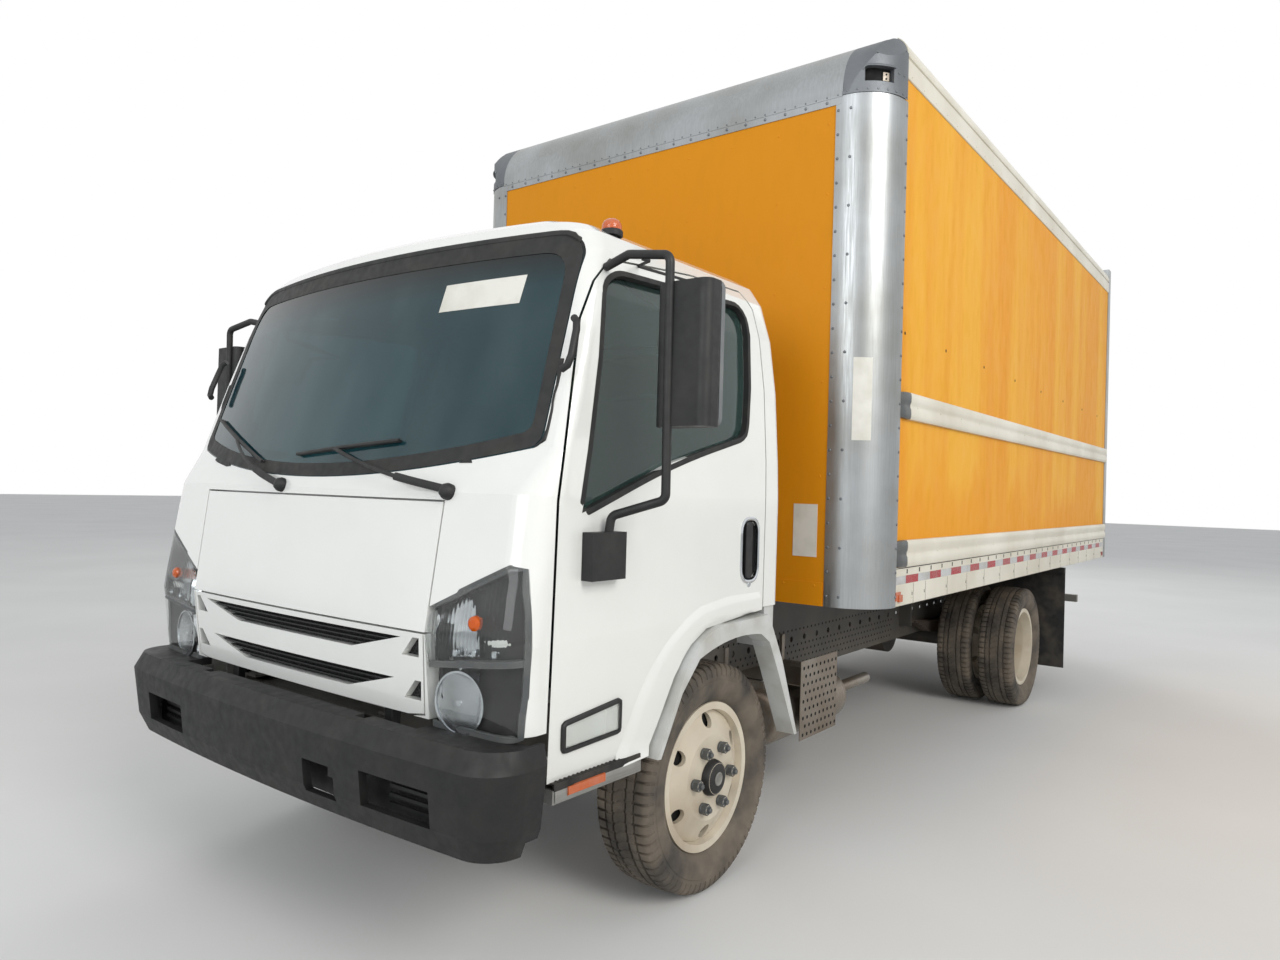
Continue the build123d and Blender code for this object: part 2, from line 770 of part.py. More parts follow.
# Lamps on the body: amber markers at its front corners, red ones at the rear, on the header and the posts
marker_face = inner_half + box_wall + rail_proud
marker_z = (box_base + 20, box_base + 50)
with BuildPart() as box_lamps:
    for side in (1, -1):
        x = nose_side - 60
        block((x - 20, x + 20), (side * marker_face, side * (marker_face + 9)), marker_z)
save(box_lamps, "box_lamps")
with BuildPart() as tail_lamps:
    for y in (-230, 0, 230):
        block((box_rear - 14, box_rear), (y - 50, y + 50), (box_top - 95, box_top - 60))
    for side in (1, -1):
        lamp_y = side * (box_half_w - post_w / 2)
        for z in (floor_top + 70, floor_top + 190):
            rod(44, (box_rear - 16, lamp_y, z), (box_rear, lamp_y, z))
        x = box_rear + frame_post + 60
        block((x - 20, x + 20), (side * marker_face, side * (marker_face + 9)), marker_z)
save(tail_lamps, "tail_lamps")

# Cab outer form: rings of its skin from the sill up to the crown of the roof.
# Columns: height, front on the centre line, drop to the corner, half width, corner radius, rear, rear radius
cab_base = 620
cab_rings = (
    (cab_base, 1050, 30, 988, 80, -334, 40),
    (1000, 1094, 38, 1006, 85, -334, 40),
    (1400, 1052, 60, 1007, 105, -334, 40),
    (1534, 1013, 112, 1004, 45, -334, 45),
    (1800, 928, 112, 988, 50, -334, 50),
    (2000, 864, 110, 961, 60, -334, 55),
    (2140, 819, 108, 920, 80, -332, 60),
    (2205, 797, 104, 882, 95, -322, 70),
    (2240, 772, 98, 822, 105, -295, 85),
    (2262, 735, 88, 745, 105, -250, 90),
    (2280, 670, 70, 640, 100, -165, 90),
    (2292, 580, 50, 480, 90, -60, 80),
    (2298, 470, 30, 300, 70, 60, 60),
)
roof_start = 2000
cab_top = cab_rings[-1][0]
min_corner = 4


def cab_form(inset=0):
    """The cab's form, drawn in by one distance all round: its outer skin, or a surface inside its walls."""
    sections = []
    for z, front, drop, half, corner, rear, rear_corner in cab_rings:
        f, h, r = at(front) - inset, half - inset, at(rear) + inset
        lower = inset * max(0, z - roof_start) / (cab_top - roof_start)
        with BuildSketch(Plane.XY.offset(z - lower)) as ring:
            with BuildLine():
                ThreePointArc((f - drop, -h), (f, 0), (f - drop, h))
                Polyline((f - drop, h), (r, h), (r, -h), (f - drop, -h))
            make_face()
            fillet(ring.vertices().group_by(Axis.X)[-1], max(corner - inset, min_corner))
            fillet(ring.vertices().group_by(Axis.X)[0], max(rear_corner - inset, min_corner))
        sections.append(ring.sketch)
    with BuildPart() as form:
        loft(sections, ruled=True)
    return form.part


window_ledge = 22
lamp_depth = 54
screen_t = glass_t + 1
mesh_near = 8
mesh_far = 20
cab_outer = cab_form()
cab_proud = cab_form(-soft_gap)
cab_core = cab_form(cab_wall)
skin_core = cab_form(cab_skin)
window_face = cab_form(window_ledge)
window_back = cab_form(window_ledge + glass_t)

# Outlines seen from the side: distance ahead of the front axle, height
door_edge = (
    (980, 616),
    (980, 2000),
    (735, 2034),
    (640, 2108),
    (174, 2160),
    (-150, 2168),
    (-205, 2110),
    (-205, 990),
)
# The door's front edge where the skin is widest, swept inwards and back at 45 degrees round the corner
pillar_edge = (
    (935, 600),
    (923, 1122),
    (917, 1387),
    (892, 1560),
    (844, 1909),
    (788, 2028),
    (717, 2108),
    (600, 2230),
)
belt_half = 1007
arch_top = (262, 922)
window_edge = ((824, 1352), (689, 2026), (613, 2072), (-95, 2104), (-135, 2070), (-70, 1624), (386, 1513))
handle_place = (at(-101), 1215)
handle_size = (112, 222)
handle_r = 50
handle_depth = 30
# Outlines seen from the front: distance from the centre line, height
lid_edge = ((-658, 1008), (658, 1008), (666, 1372), (-666, 1372))
grille_edge = ((-640, 775), (-575, 765), (575, 765), (640, 775), (652, 1002), (-652, 1002))
lamp_edge = ((660, 752), (660, 1078), (945, 1212), (1010, 1200), (1010, 752))
lamp_rear = 1000
screen_low = 1434
screen_corner = (934, 1534)
screen_side = (903, 2078)
screen_top = 2190
screen_r = 95
rear_glass = (-560, 560, 1560, 1990)


def side_face(points, grow=0):
    """A side outline on the centre plane, grown by a gap."""
    with BuildSketch(Plane.XZ) as face:
        Polygon(*[(at(x), z) for x, z in points], align=None)
        if grow:
            offset(amount=grow, kind=Kind.INTERSECTION)
    return face.sketch


def front_face(points, grow=0):
    """A front outline on a plane ahead of the cab, grown by a gap."""
    with BuildSketch(Plane.YZ.offset(at(1200))) as face:
        Polygon(*points, align=None)
        if grow:
            offset(amount=grow, kind=Kind.INTERSECTION)
    return face.sketch


def screen_face(grow=0):
    """The windscreen's outline: bowed lower edge, sides leaning in, rounded top corners."""
    with BuildSketch(Plane.YZ.offset(at(1200))) as face:
        with BuildLine():
            ThreePointArc((-screen_corner[0], screen_corner[1]), (0, screen_low), screen_corner)
            Line(screen_corner, (screen_side[0] - 7, screen_top))
            Line((screen_side[0] - 7, screen_top), (7 - screen_side[0], screen_top))
            Line((7 - screen_side[0], screen_top), (-screen_corner[0], screen_corner[1]))
        make_face()
        fillet(face.vertices().group_by(Axis.Y)[-1], screen_r)
        fillet(face.vertices().group_by(Axis.Y)[0], 30)
        if grow:
            offset(amount=grow, kind=Kind.INTERSECTION)
    return face.sketch


def door_face(grow=0):
    """The door's outline, with the wheel arch taken out of its lower corner."""
    with BuildSketch(Plane.XZ) as face:
        with BuildLine():
            Polyline(*[(at(x), z) for x, z in door_edge])
            Line((at(-205), 990), (at(51), 981))
            ThreePointArc((at(51), 981), (at(arch_top[0]), arch_top[1]), (at(349), 827))
            Polyline((at(349), 827), (at(480), 600), (at(980), 616))
        make_face()
        if grow:
            offset(amount=grow, kind=Kind.INTERSECTION)
    return face.sketch


door_in = 840
door_out = 1100


def across(face, side):
    """A side outline made solid over the depth of one door. side is +1 for the driver's side, else -1."""
    inner_face = face.moved(Location((0, side * door_in, 0)))
    return extrude(inner_face, amount=-side * (door_out - door_in), mode=Mode.PRIVATE)


def behind_pillar(side, ahead=0):
    """All that lies behind the door's front edge, its face swept round the corner of the cab."""
    with BuildSketch(Plane.XZ.offset(-side * belt_half)) as zone:
        front = [(at(x) + ahead, z) for x, z in pillar_edge]
        Polygon((at(-500), 500), *front, (at(-500), 2300), align=None)
    inwards = extrude(zone.sketch, amount=260, dir=(-1, -side, 0), mode=Mode.PRIVATE)
    outwards = extrude(zone.sketch, amount=60, dir=(1, side, 0), mode=Mode.PRIVATE)
    return inwards + outwards


# Doors: the skin and its inner panel as one hollow-backed shell, window cut, glass set in the frame
for side, name in ((1, "left"), (-1, "right")):
    with BuildPart() as door:
        add(cab_outer)
        add(cab_core, mode=Mode.SUBTRACT)
        add(across(door_face(), side) & behind_pillar(side), mode=Mode.INTERSECT)
        add(across(side_face(window_edge), side), mode=Mode.SUBTRACT)
        with BuildSketch(Plane.XZ.offset(-side * (belt_half - handle_depth))):
            with Locations(handle_place):
                RectangleRounded(*handle_size, handle_r)
        extrude(amount=-side * (door_out - belt_half), mode=Mode.SUBTRACT)
    save(door, f"door_{name}")
    with BuildPart() as glass:
        add(window_face)
        add(window_back, mode=Mode.SUBTRACT)
        add(across(side_face(window_edge, -soft_gap), side), mode=Mode.INTERSECT)
    save(glass, f"door_glass_{name}")

# Lid, grille, headlamps and windscreen: each is the outer skin inside its own outline
front_depth = 700
with BuildPart() as front_lid:
    add(cab_outer)
    add(skin_core, mode=Mode.SUBTRACT)
    extrude(front_face(lid_edge), amount=-front_depth, mode=Mode.INTERSECT)
save(front_lid, "front_lid")

# Grille openings: lower edge and upper edge heights at the middle and at the ends, then the end triangles
mesh_bars = ((930, 985, 330, 560), (806, 862, 300, 520))
bars_per_opening = 3
bar_h = 4
with BuildSketch(Plane.YZ.offset(at(1200))) as bars:
    for low, high, low_half, high_half in mesh_bars:
        spread = (high_half - low_half) / (high - low)
        for i in range(bars_per_opening):
            under = low + (high - low) * (i + 1) / (bars_per_opening + 1) - bar_h / 2
            near = low_half + spread * (under - low) - soft_gap
            far = near + spread * bar_h
            outline([(-near, under), (near, under), (far, under + bar_h), (-far, under + bar_h)])
with BuildPart() as grille_mesh:
    add(cab_form(mesh_near))
    add(cab_form(mesh_far), mode=Mode.SUBTRACT)
    extrude(bars.sketch, amount=-front_depth, mode=Mode.INTERSECT)
save(grille_mesh, "grille_mesh")
with BuildPart() as grille:
    add(cab_outer)
    add(skin_core, mode=Mode.SUBTRACT)
    extrude(front_face(grille_edge), amount=-front_depth, mode=Mode.INTERSECT)
    for low, high, low_half, high_half in mesh_bars:
        opening = ((-low_half, low), (low_half, low), (high_half, high), (-high_half, high))
        extrude(front_face(opening), amount=-front_depth, mode=Mode.SUBTRACT)
        for side in (1, -1):
            end = ((560, low + 4), (632, low + 4), (636, high + 4), (610, high + 4))
            window = front_face([(side * y, z) for y, z in end])
            extrude(window, amount=-front_depth, mode=Mode.SUBTRACT)
save(grille, "grille")
with BuildPart() as headlamps:
    add(cab_outer)
    add(cab_form(lamp_depth), mode=Mode.SUBTRACT)
    with BuildSketch(Plane.YZ.offset(at(1200))) as lenses:
        for side in (1, -1):
            Polygon(*[(side * y, z) for y, z in lamp_edge], align=None)
    extrude(amount=-(1200 - lamp_rear), mode=Mode.INTERSECT)
save(headlamps, "headlamps")
with BuildPart() as rear_pane:
    block(
        (cab_rear + 14, cab_rear + 14 + glass_t),
        (rear_glass[0] + soft_gap, rear_glass[1] - soft_gap),
        (rear_glass[2] + soft_gap, rear_glass[3] - soft_gap),
    )
with BuildPart() as cab_glass:
    add(cab_outer)
    add(cab_form(screen_t), mode=Mode.SUBTRACT)
    extrude(screen_face(-soft_gap), amount=-front_depth, mode=Mode.INTERSECT)
    add(rear_pane.part)
save(cab_glass, "cab_glass")

# Cab shell: walls, roof, pillars, stepped floor with the wheel housings, and the engine cover
foot_floor = 820
floor_plate = 40
deck_front = 480
tunnel_half = 390
tunnel_front = 760
floor_half = 1004 - cab_wall - door_gap - 6
with BuildPart() as floor:
    for side in (1, -1):
        sole = (foot_floor, foot_floor + floor_plate)
        riser = (foot_floor, seat_deck + floor_plate)
        block((at(deck_front - floor_plate), at(1100)), (side * tunnel_half, side * floor_half), sole)
        block((at(deck_front - floor_plate), at(deck_front)), (side * tunnel_half, side * floor_half), riser)
        tunnel_wall = (side * (tunnel_half - floor_plate), side * tunnel_half)
        block((at(deck_front - floor_plate), at(tunnel_front)), tunnel_wall, riser)
    deck = (seat_deck, seat_deck + floor_plate)
    block((cab_rear, at(deck_front)), (-floor_half, floor_half), deck)
    block((at(deck_front - floor_plate), at(tunnel_front)), (-tunnel_half, tunnel_half), deck)
    block((at(tunnel_front - floor_plate), at(tunnel_front)), (-tunnel_half, tunnel_half), riser)
    block((at(tunnel_front - floor_plate), at(1100)), (-tunnel_half, tunnel_half), sole)
    add(cab_form(cab_wall - 4), mode=Mode.INTERSECT)
with BuildPart() as pockets:
    add(cab_outer)
    add(cab_form(cab_skin + panel_gap), mode=Mode.SUBTRACT)
    extrude(front_face(lid_edge, panel_gap), amount=-front_depth, mode=Mode.INTERSECT)
with BuildPart() as grille_pocket:
    add(cab_outer)
    add(cab_form(cab_skin + soft_gap), mode=Mode.SUBTRACT)
    extrude(front_face(grille_edge, panel_gap), amount=-front_depth, mode=Mode.INTERSECT)
with BuildPart() as lamp_pockets:
    add(cab_outer)
    add(cab_form(lamp_depth + soft_gap), mode=Mode.SUBTRACT)
    with BuildSketch(Plane.YZ.offset(at(1200))) as lens_holes:
        for side in (1, -1):
            Polygon(*[(side * y, z) for y, z in lamp_edge], align=None)
        offset(amount=soft_gap, kind=Kind.INTERSECTION)
    extrude(amount=-(1200 - lamp_rear + soft_gap), mode=Mode.INTERSECT)
door_zones = [across(door_face(door_gap), side) & behind_pillar(side, 1.5 * door_gap) for side in (1, -1)]
with BuildPart() as pillars:
    for side in (1, -1):
        with BuildSketch(Plane.XY.offset(screen_corner[1] - 110)) as pillar:
            with Locations((at(895), side * 905)):
                Rectangle(70, 66)
        extrude(pillar.sketch, amount=770, dir=(-0.318, -0.055 * side, 1))
    add(cab_form(screen_t + soft_gap), mode=Mode.INTERSECT)
    for zone in door_zones:
        add(zone, mode=Mode.SUBTRACT)
with BuildPart() as cab_shell:
    add(cab_outer)
    add(cab_core, mode=Mode.SUBTRACT)
    for zone in door_zones:
        add(zone, mode=Mode.SUBTRACT)
    extrude(screen_face(), amount=-front_depth, mode=Mode.SUBTRACT)
    block((cab_rear - 10, cab_rear + 200), rear_glass[:2], rear_glass[2:], Mode.SUBTRACT)
    block((at(400), at(1300)), (-1100, 1100), (cab_base - 10, 762), Mode.SUBTRACT)
    block((cab_rear - 10, at(484)), (-1100, 1100), (cab_base - 10, 1000), Mode.SUBTRACT)
    add(pockets.part, mode=Mode.SUBTRACT)
    add(grille_pocket.part, mode=Mode.SUBTRACT)
    add(lamp_pockets.part, mode=Mode.SUBTRACT)
    add(pillars.part)
    add(floor.part)
    for side in (1, -1):
        arm_y = (side * tilt_arm_y[0], side * tilt_arm_y[1])
        foot = (tilt_z - tilt_eye_r, tilt_z + 4)
        block((at(998), tilt_x), arm_y, foot)
        block((at(998), at(1022)), arm_y, (foot[0], 790))
        rod(tilt_eye_r, (tilt_x, arm_y[0], tilt_z), (tilt_x, arm_y[1], tilt_z))
        pin_bore = (side * (tilt_arm_y[0] - 2), side * (tilt_arm_y[1] + 2))
        rod(tilt_pin_r + pin_gap, (tilt_x, pin_bore[0], tilt_z), (tilt_x, pin_bore[1], tilt_z), Mode.SUBTRACT)
save(cab_shell, "cab_shell")

# Arch flares: a band inside the arch's edge, narrow at the step, wide over the tyre, and the guard behind it
flare_out = 1032
flare_in = 955
with BuildPart() as fender_flares:
    for side in (1, -1):
        with BuildSketch(Plane.XZ.offset(-side * flare_in)) as band:
            with BuildLine():
                Line((at(466), 592), (at(337), 820))
                ThreePointArc((at(337), 820), (at(256), 910), (at(50), 968))
                Polyline((at(50), 968), (at(-214), 974), (at(-325), 790), (at(-460), 485), (at(-438), 485))
                Polyline((at(-438), 485), (at(-300), 740), (at(-222), 872), (at(-160), 908))
                ThreePointArc((at(-160), 908), (at(40), 914), (at(243), 872))
                Polyline((at(243), 872), (at(340), 775), (at(448), 590), (at(466), 592))
            make_face()
        extrude(band.sketch, amount=-side * (flare_out - flare_in))
        block((at(-300), at(-230)), (side * (floor_half - 45), side * 1000), (850, seat_deck))
save(fender_flares, "fender_flares")

# Steps under the doors, hung from the floor by two brackets each
with BuildPart() as steps:
    for side in (1, -1):
        block((at(515), at(908)), (side * 790, side * 1004), (step_z - step_depth, step_z - 14))
        hollow_z = (step_z - step_depth - 1, step_z - 20)
        block((at(523), at(900)), (side * 800, side * 998), hollow_z, Mode.SUBTRACT)
        for x in (560, 860):
            block((at(x) - 15, at(x) + 15), (side * 792, side * 800), (step_z - 30, foot_floor))
save(steps, "steps")

# Mirrors: tubular arm from the door's top corner down to a bracket at the belt line, head on the arm
tube_r = 13
arm_y = 1195
arm_top = 2075
arm_low = 1396
head_depth = 85
bracket_face = 1007.5
for side, name in ((1, "left"), (-1, "right")):
    with BuildPart() as mirror:
        with BuildLine() as route:
            FilletPolyline(
                (at(672), side * 942, 2080),
                (at(690), side * 1040, arm_top + 25),
                (at(700), side * arm_y, arm_top),
                (at(690), side * arm_y, arm_low),
                (at(735), side * 1040, arm_low - 50),
                (at(735), side * 1030, arm_low - 110),
                radius=25,
            )
        with BuildSketch(Plane(route.line @ 0, z_dir=route.line % 0)) as tube:
            Circle(tube_r)
        sweep(tube.sketch, path=route.line)
        with BuildSketch(Plane.XY.offset(1600)) as head:
            with Locations((at(655) - 3, side * 1233)):
                RectangleRounded(head_depth, 176, 28)
        extrude(head.sketch, amount=402)
        block((at(672), at(820)), (side * bracket_face, side * 1048), (1165, 1300))
    save(mirror, f"mirror_{name}")

# Wipers: pivot cap, arm and blade lying on the glass
with BuildPart() as wipers:
    for pivot, tip in (((1050, -136, 1404), (905, -800, 1640)), ((1030, 681, 1401), (1003, 150, 1530))):
        start = Vector(at(pivot[0]) + 4, pivot[1], pivot[2])
        end = Vector(at(tip[0]) + 24, tip[1], tip[2])
        rod(9, start, end)
        with Locations(Plane(start, z_dir=(1, 0, 0.3))):
            Cylinder(20, 20)
    add(cab_proud, mode=Mode.SUBTRACT)
save(wipers, "wipers")

# Marker lamps at the corners of the roof
roof_lamp_y = 850
with BuildPart() as roof_lamps:
    for side in (1, -1):
        with BuildSketch(Plane.XY.offset(2200)) as lamp:
            with Locations((at(540), side * roof_lamp_y)):
                RectangleRounded(110, 50, 20)
        extrude(lamp.sketch, amount=55, taper=8)
    add(cab_proud, mode=Mode.SUBTRACT)
save(roof_lamps, "roof_lamps")

# Inside the cab: dashboard with the steering column, seats, steering wheel
dash_half = 930
column_y = 460
column_angle = 25
wheel_centre = (520, column_y, 1372)
wheel_r = 210
with BuildPart() as dashboard:
    with BuildSketch(Plane.XZ.offset(-dash_half)) as dash_side:
        Polygon(
            (at(960), 1395),
            (at(700), 1400),
            (at(640), 1345),
            (at(660), 1150),
            (at(760), 1120),
            (at(900), 1120),
            align=None,
        )
    extrude(amount=2 * dash_half)
    add(cab_form(cab_wall + soft_gap), mode=Mode.INTERSECT)
    tilt = Vector(-sin(radians(column_angle)), 0, cos(radians(column_angle)))
    hub_point = Vector(at(wheel_centre[0]), wheel_centre[1], wheel_centre[2])
    rod(34, hub_point - tilt * 380, hub_point - tilt * (25 + soft_gap))
save(dashboard, "dashboard")
with BuildPart() as steering_wheel:
    with Locations(Plane(hub_point, z_dir=tilt)):
        Torus(wheel_r, 15)
        Cylinder(55, 50)
        for turn in (0, 120, 240):
            with Locations(Rotation(0, 0, turn)):
                with Locations((wheel_r / 2, 0, 0)):
                    Box(wheel_r - 12, 34, 14)
save(steering_wheel, "steering_wheel")

seat_base = seat_deck + floor_plate
cushion_h = 170
# name of the place: nearest and furthest Y of each seat
seat_rows = ((250, 790), (-790, 120))
with BuildPart() as seats:
    for low, high in seat_rows:
        block((at(-120), at(400)), (low, high), (seat_base + soft_gap, seat_base + cushion_h))
        with BuildSketch(Plane.XZ.offset(-high)) as back:
            Polygon(
                (at(-130), seat_base + cushion_h + soft_gap),
                (at(-10), seat_base + cushion_h + soft_gap),
                (at(-90), seat_base + 760),
                (at(-190), seat_base + 760),
                align=None,
            )
        extrude(back.sketch, amount=high - low)
save(seats, "seats")

# Front bumper: a wrapped shell, wide at its upper edge, drawn in below, with a tread shelf on top
# height, front on the centre line, drop to the corner, half width, corner radius, how far the ends reach back
bumper_rings = (
    (452, 1150, 40, 985, 110),
    (520, 1180, 42, 1012, 120),
    (690, 1200, 44, 1030, 130),
    (745, 1170, 44, 1018, 120),
)
bumper_end = 959


def bumper_form(inset=0):
    """The bumper's form from its rings, drawn in by one distance."""
    sections = []
    for z, front, drop, half, corner in bumper_rings:
        f, h, r = at(front) - inset, half - inset, at(bumper_end)
        with BuildSketch(Plane.XY.offset(z)) as ring:
            with BuildLine():
                ThreePointArc((f - drop, -h), (f, 0), (f - drop, h))
                Polyline((f - drop, h), (r, h), (r, -h), (f - drop, -h))
            make_face()
            fillet(ring.vertices().group_by(Axis.X)[-1], corner - inset)
        sections.append(ring.sketch)
    with BuildPart() as form:
        loft(sections, ruled=True)
    return form.part


bumper_t = 26
with BuildPart() as hollow:
    add(bumper_form(bumper_t))
    block((at(900), at(1300)), (-1100, 1100), (720, 760), Mode.SUBTRACT)
with BuildPart() as front_bumper:
    add(bumper_form())
    add(hollow.part, mode=Mode.SUBTRACT)
    block((at(900), at(1003)), (-1001, 1001), (440, 760), Mode.SUBTRACT)
    block((at(1003), at(1095)), (-660, 660), (700, 760), Mode.SUBTRACT)
    for side in (1, -1):
        block((at(1100), at(1250)), (side * 520, side * 800), (520, 620), Mode.SUBTRACT)
    block((at(1100), at(1250)), (250, 400), (500, 600), Mode.SUBTRACT)
    for side in (1, -1):
        notch = (side * (tilt_arm_y[0] - 8), side * (tilt_arm_y[1] + 12))
        block((at(1090), at(1128)), notch, (700, 760), Mode.SUBTRACT)
        block((at(1000), at(1160)), (side * 345, side * web_half), (560, 700))
save(front_bumper, "front_bumper")
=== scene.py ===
import json
import logging
import math
from dataclasses import dataclass
from enum import Enum
from typing import Optional, Protocol, Sequence, Union

import bmesh
import bpy
from mathutils import Matrix, Vector
from mathutils.bvhtree import BVHTree

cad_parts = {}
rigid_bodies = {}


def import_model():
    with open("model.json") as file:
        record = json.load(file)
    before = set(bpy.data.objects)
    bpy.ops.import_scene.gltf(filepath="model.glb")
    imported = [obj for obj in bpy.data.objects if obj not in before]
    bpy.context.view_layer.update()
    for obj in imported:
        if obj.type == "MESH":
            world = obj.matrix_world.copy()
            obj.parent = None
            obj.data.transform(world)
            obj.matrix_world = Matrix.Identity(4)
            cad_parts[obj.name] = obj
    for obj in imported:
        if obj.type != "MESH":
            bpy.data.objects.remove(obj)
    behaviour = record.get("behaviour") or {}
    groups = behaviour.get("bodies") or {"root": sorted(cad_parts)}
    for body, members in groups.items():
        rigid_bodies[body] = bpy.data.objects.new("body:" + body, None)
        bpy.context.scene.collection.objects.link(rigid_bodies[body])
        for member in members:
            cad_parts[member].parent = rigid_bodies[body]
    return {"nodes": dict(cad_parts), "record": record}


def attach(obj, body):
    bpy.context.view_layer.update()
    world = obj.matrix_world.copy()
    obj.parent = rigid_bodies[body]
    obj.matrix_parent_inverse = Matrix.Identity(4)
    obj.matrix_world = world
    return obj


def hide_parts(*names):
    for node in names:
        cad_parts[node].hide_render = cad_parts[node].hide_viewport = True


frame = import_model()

log = logging.getLogger("box_truck")

AXLE_X = 2465.0
REAR_AXLE = -3810.0
AXLE_Z = 405.0
AHEAD = (1, 0, 0)
UP = (0, 0, 1)

Pair = tuple[float, float]
Triple = tuple[float, float, float]
Points = Sequence[Sequence[float]]
Spot = tuple[Vector, Vector]
Socket = bpy.types.NodeSocket
Value = Union[Socket, str, float, Triple]


class Side(Enum):
    """The two sides of the truck, with the sign of Y on each."""

    DRIVER = 1
    KERB = -1

    @property
    def word(self) -> str:
        """The ending of the CAD names on this side."""
        return "left" if self is Side.DRIVER else "right"


class Plane(Enum):
    """The plane that a flat outline is drawn in, by the axes of its two numbers."""

    SIDE = "xz"
    FRONT = "yz"
    PLAN = "xy"

    def at(self, p: Pair, depth: float) -> Triple:
        """A point of the outline, at a depth along the third axis."""
        return {"xz": (p[0], depth, p[1]), "yz": (depth, p[0], p[1]), "xy": (p[0], p[1], depth)}[self.value]


class Row(Enum):
    """The kinds of rows across a tyre."""

    WALL = "side wall"
    EDGE = "shoulder"
    LUG = "outer block"
    LOW = "groove"
    RIB = "middle rib"


def metres(point: Sequence[float]) -> Vector:
    """Turn millimetres ahead of the front axle, across and up into metres of the shared frame."""
    return Vector(((AXLE_X + point[0]) / 1000, point[1] / 1000, point[2] / 1000))


def tint(code: str) -> tuple[float, ...]:
    """Turn a screen colour written as six hex digits into a linear one, with full alpha."""
    parts = [int(code[i : i + 2], 16) / 255 for i in (0, 2, 4)]
    return (*(p / 12.92 if p <= 0.04045 else ((p + 0.055) / 1.055) ** 2.4 for p in parts), 1.0)


def blend(a: float, b: float, share: float) -> float:
    """The number that lies a share of the way from a to b."""
    return a + (b - a) * share


def run(first: float, last: float, count: int) -> list[float]:
    """Numbers spread evenly from the first to the last, by a count of steps."""
    return [blend(first, last, k / count) for k in range(count + 1)]


def turns(count: int) -> list[float]:
    """The angles that cut a full turn into equal parts, in radians."""
    return [2 * math.pi * k / count for k in range(count)]


def stations(start: float, end: float, step: float) -> list[float]:
    """Stations from a start rearwards, stopping before the end."""
    return [start - step * k for k in range(math.ceil((start - end) / step))]


def ease(share: float) -> float:
    """A soft step from 0 to 1."""
    share = min(max(share, 0.0), 1.0)
    return share * share * (3 - 2 * share)


def rounded(corners: Sequence[Triple], steps: int = 6) -> list[Pair]:
    """Round the corners of a closed flat outline.

    Args:
        corners: The corners, each as its two numbers and its radius.
        steps: How many runs each corner gets.

    Returns:
        The points of the rounded outline.
    """
    path: list[Pair] = []
    for i, (a, b, radius) in enumerate(corners):
        here = Vector((a, b))
        before = Vector(corners[i - 1][:2])
        after = Vector(corners[(i + 1) % len(corners)][:2])
        reach = min(radius, (before - here).length / 2, (after - here).length / 2)
        start = here + (before - here).normalized() * reach
        end = here + (after - here).normalized() * reach
        for t in run(0, 1, steps):
            p = start * (1 - t) ** 2 + here * 2 * t * (1 - t) + end * t * t
            path.append((p.x, p.y))
    return path


def spaced(path: Points, step: float, closed: bool = True) -> list[tuple[float, ...]]:
    """Walk along a path at an even pace.

    Args:
        path: The points of the path, flat or in space.
        step: The longest step between two points.
        closed: Whether the path runs back to its start.

    Returns:
        Points at equal distances along the path.
    """
    points = [Vector(p) for p in path]
    if closed:
        points.append(points[0].copy())
    lengths = [(b - a).length for a, b in zip(points, points[1:])]
    total = sum(lengths)
    count = max(3, math.ceil(total / step))
    result = []
    leg, used = 0, 0.0
    for k in range(count if closed else count + 1):
        goal = total * k / count
        while leg < len(lengths) - 1 and used + lengths[leg] < goal:
            used += lengths[leg]
            leg += 1
        share = (goal - used) / lengths[leg] if lengths[leg] else 0.0
        result.append(tuple(points[leg].lerp(points[leg + 1], min(share, 1.0))))
    return result


def drawn_in(path: Sequence[Pair], distance: float) -> list[Pair]:
    """Move a closed flat outline inwards along its own normals.

    Args:
        path: The outline.
        distance: How far inwards, or outwards where it is negative.

    Returns:
        The moved outline, with the same number of points.
    """
    area = sum(a[0] * b[1] - b[0] * a[1] for a, b in zip(path, list(path[1:]) + [path[0]]))
    turn = 1 if area > 0 else -1
    moved = []
    for i, here in enumerate(path):
        before, after = path[i - 1], path[(i + 1) % len(path)]
        along = Vector((after[0] - before[0], after[1] - before[1])).normalized()
        moved.append((here[0] - along.y * turn * distance, here[1] + along.x * turn * distance))
    return moved


def levelled(spots: Sequence[Spot], reach: int) -> list[Spot]:
    """Even out the stations and normals of a closed run of points on a faceted surface.

    Args:
        spots: The points with their normals.
        reach: How many neighbours on each side count.

    Returns:
        The same points, at averaged stations with averaged normals.
    """
    made = []
    for i, (here, _) in enumerate(spots):
        near = [spots[(i + j) % len(spots)] for j in range(-reach, reach + 1)]
        station = sum(p.x for p, _ in near) / len(near)
        normal = sum((n for _, n in near), Vector())
        made.append((Vector((station, here.y, here.z)), normal.normalized()))
    return made


def placed(name: str, data: bpy.types.ID) -> bpy.types.Object:
    """Put new data into the scene as an object.

    Args:
        name: The object's name.
        data: Its mesh, lamp or camera.

    Returns:
        The object.
    """
    made = bpy.data.objects.new(name, data)
    bpy.context.scene.collection.objects.link(made)
    return made


def baked(mesh: bmesh.types.BMesh, name: str, angle: float) -> bpy.types.Mesh:
    """Turn a loose mesh into mesh data, and let go of it.

    Args:
        mesh: The loose mesh.
        name: The data's name.
        angle: The largest angle that still shades smoothly, in degrees.

    Returns:
        The data.
    """
    data = bpy.data.meshes.new(name)
    mesh.to_mesh(data)
    mesh.free()
    for polygon in data.polygons:
        polygon.use_smooth = True
    data.set_sharp_from_angle(angle=math.radians(angle))
    return data


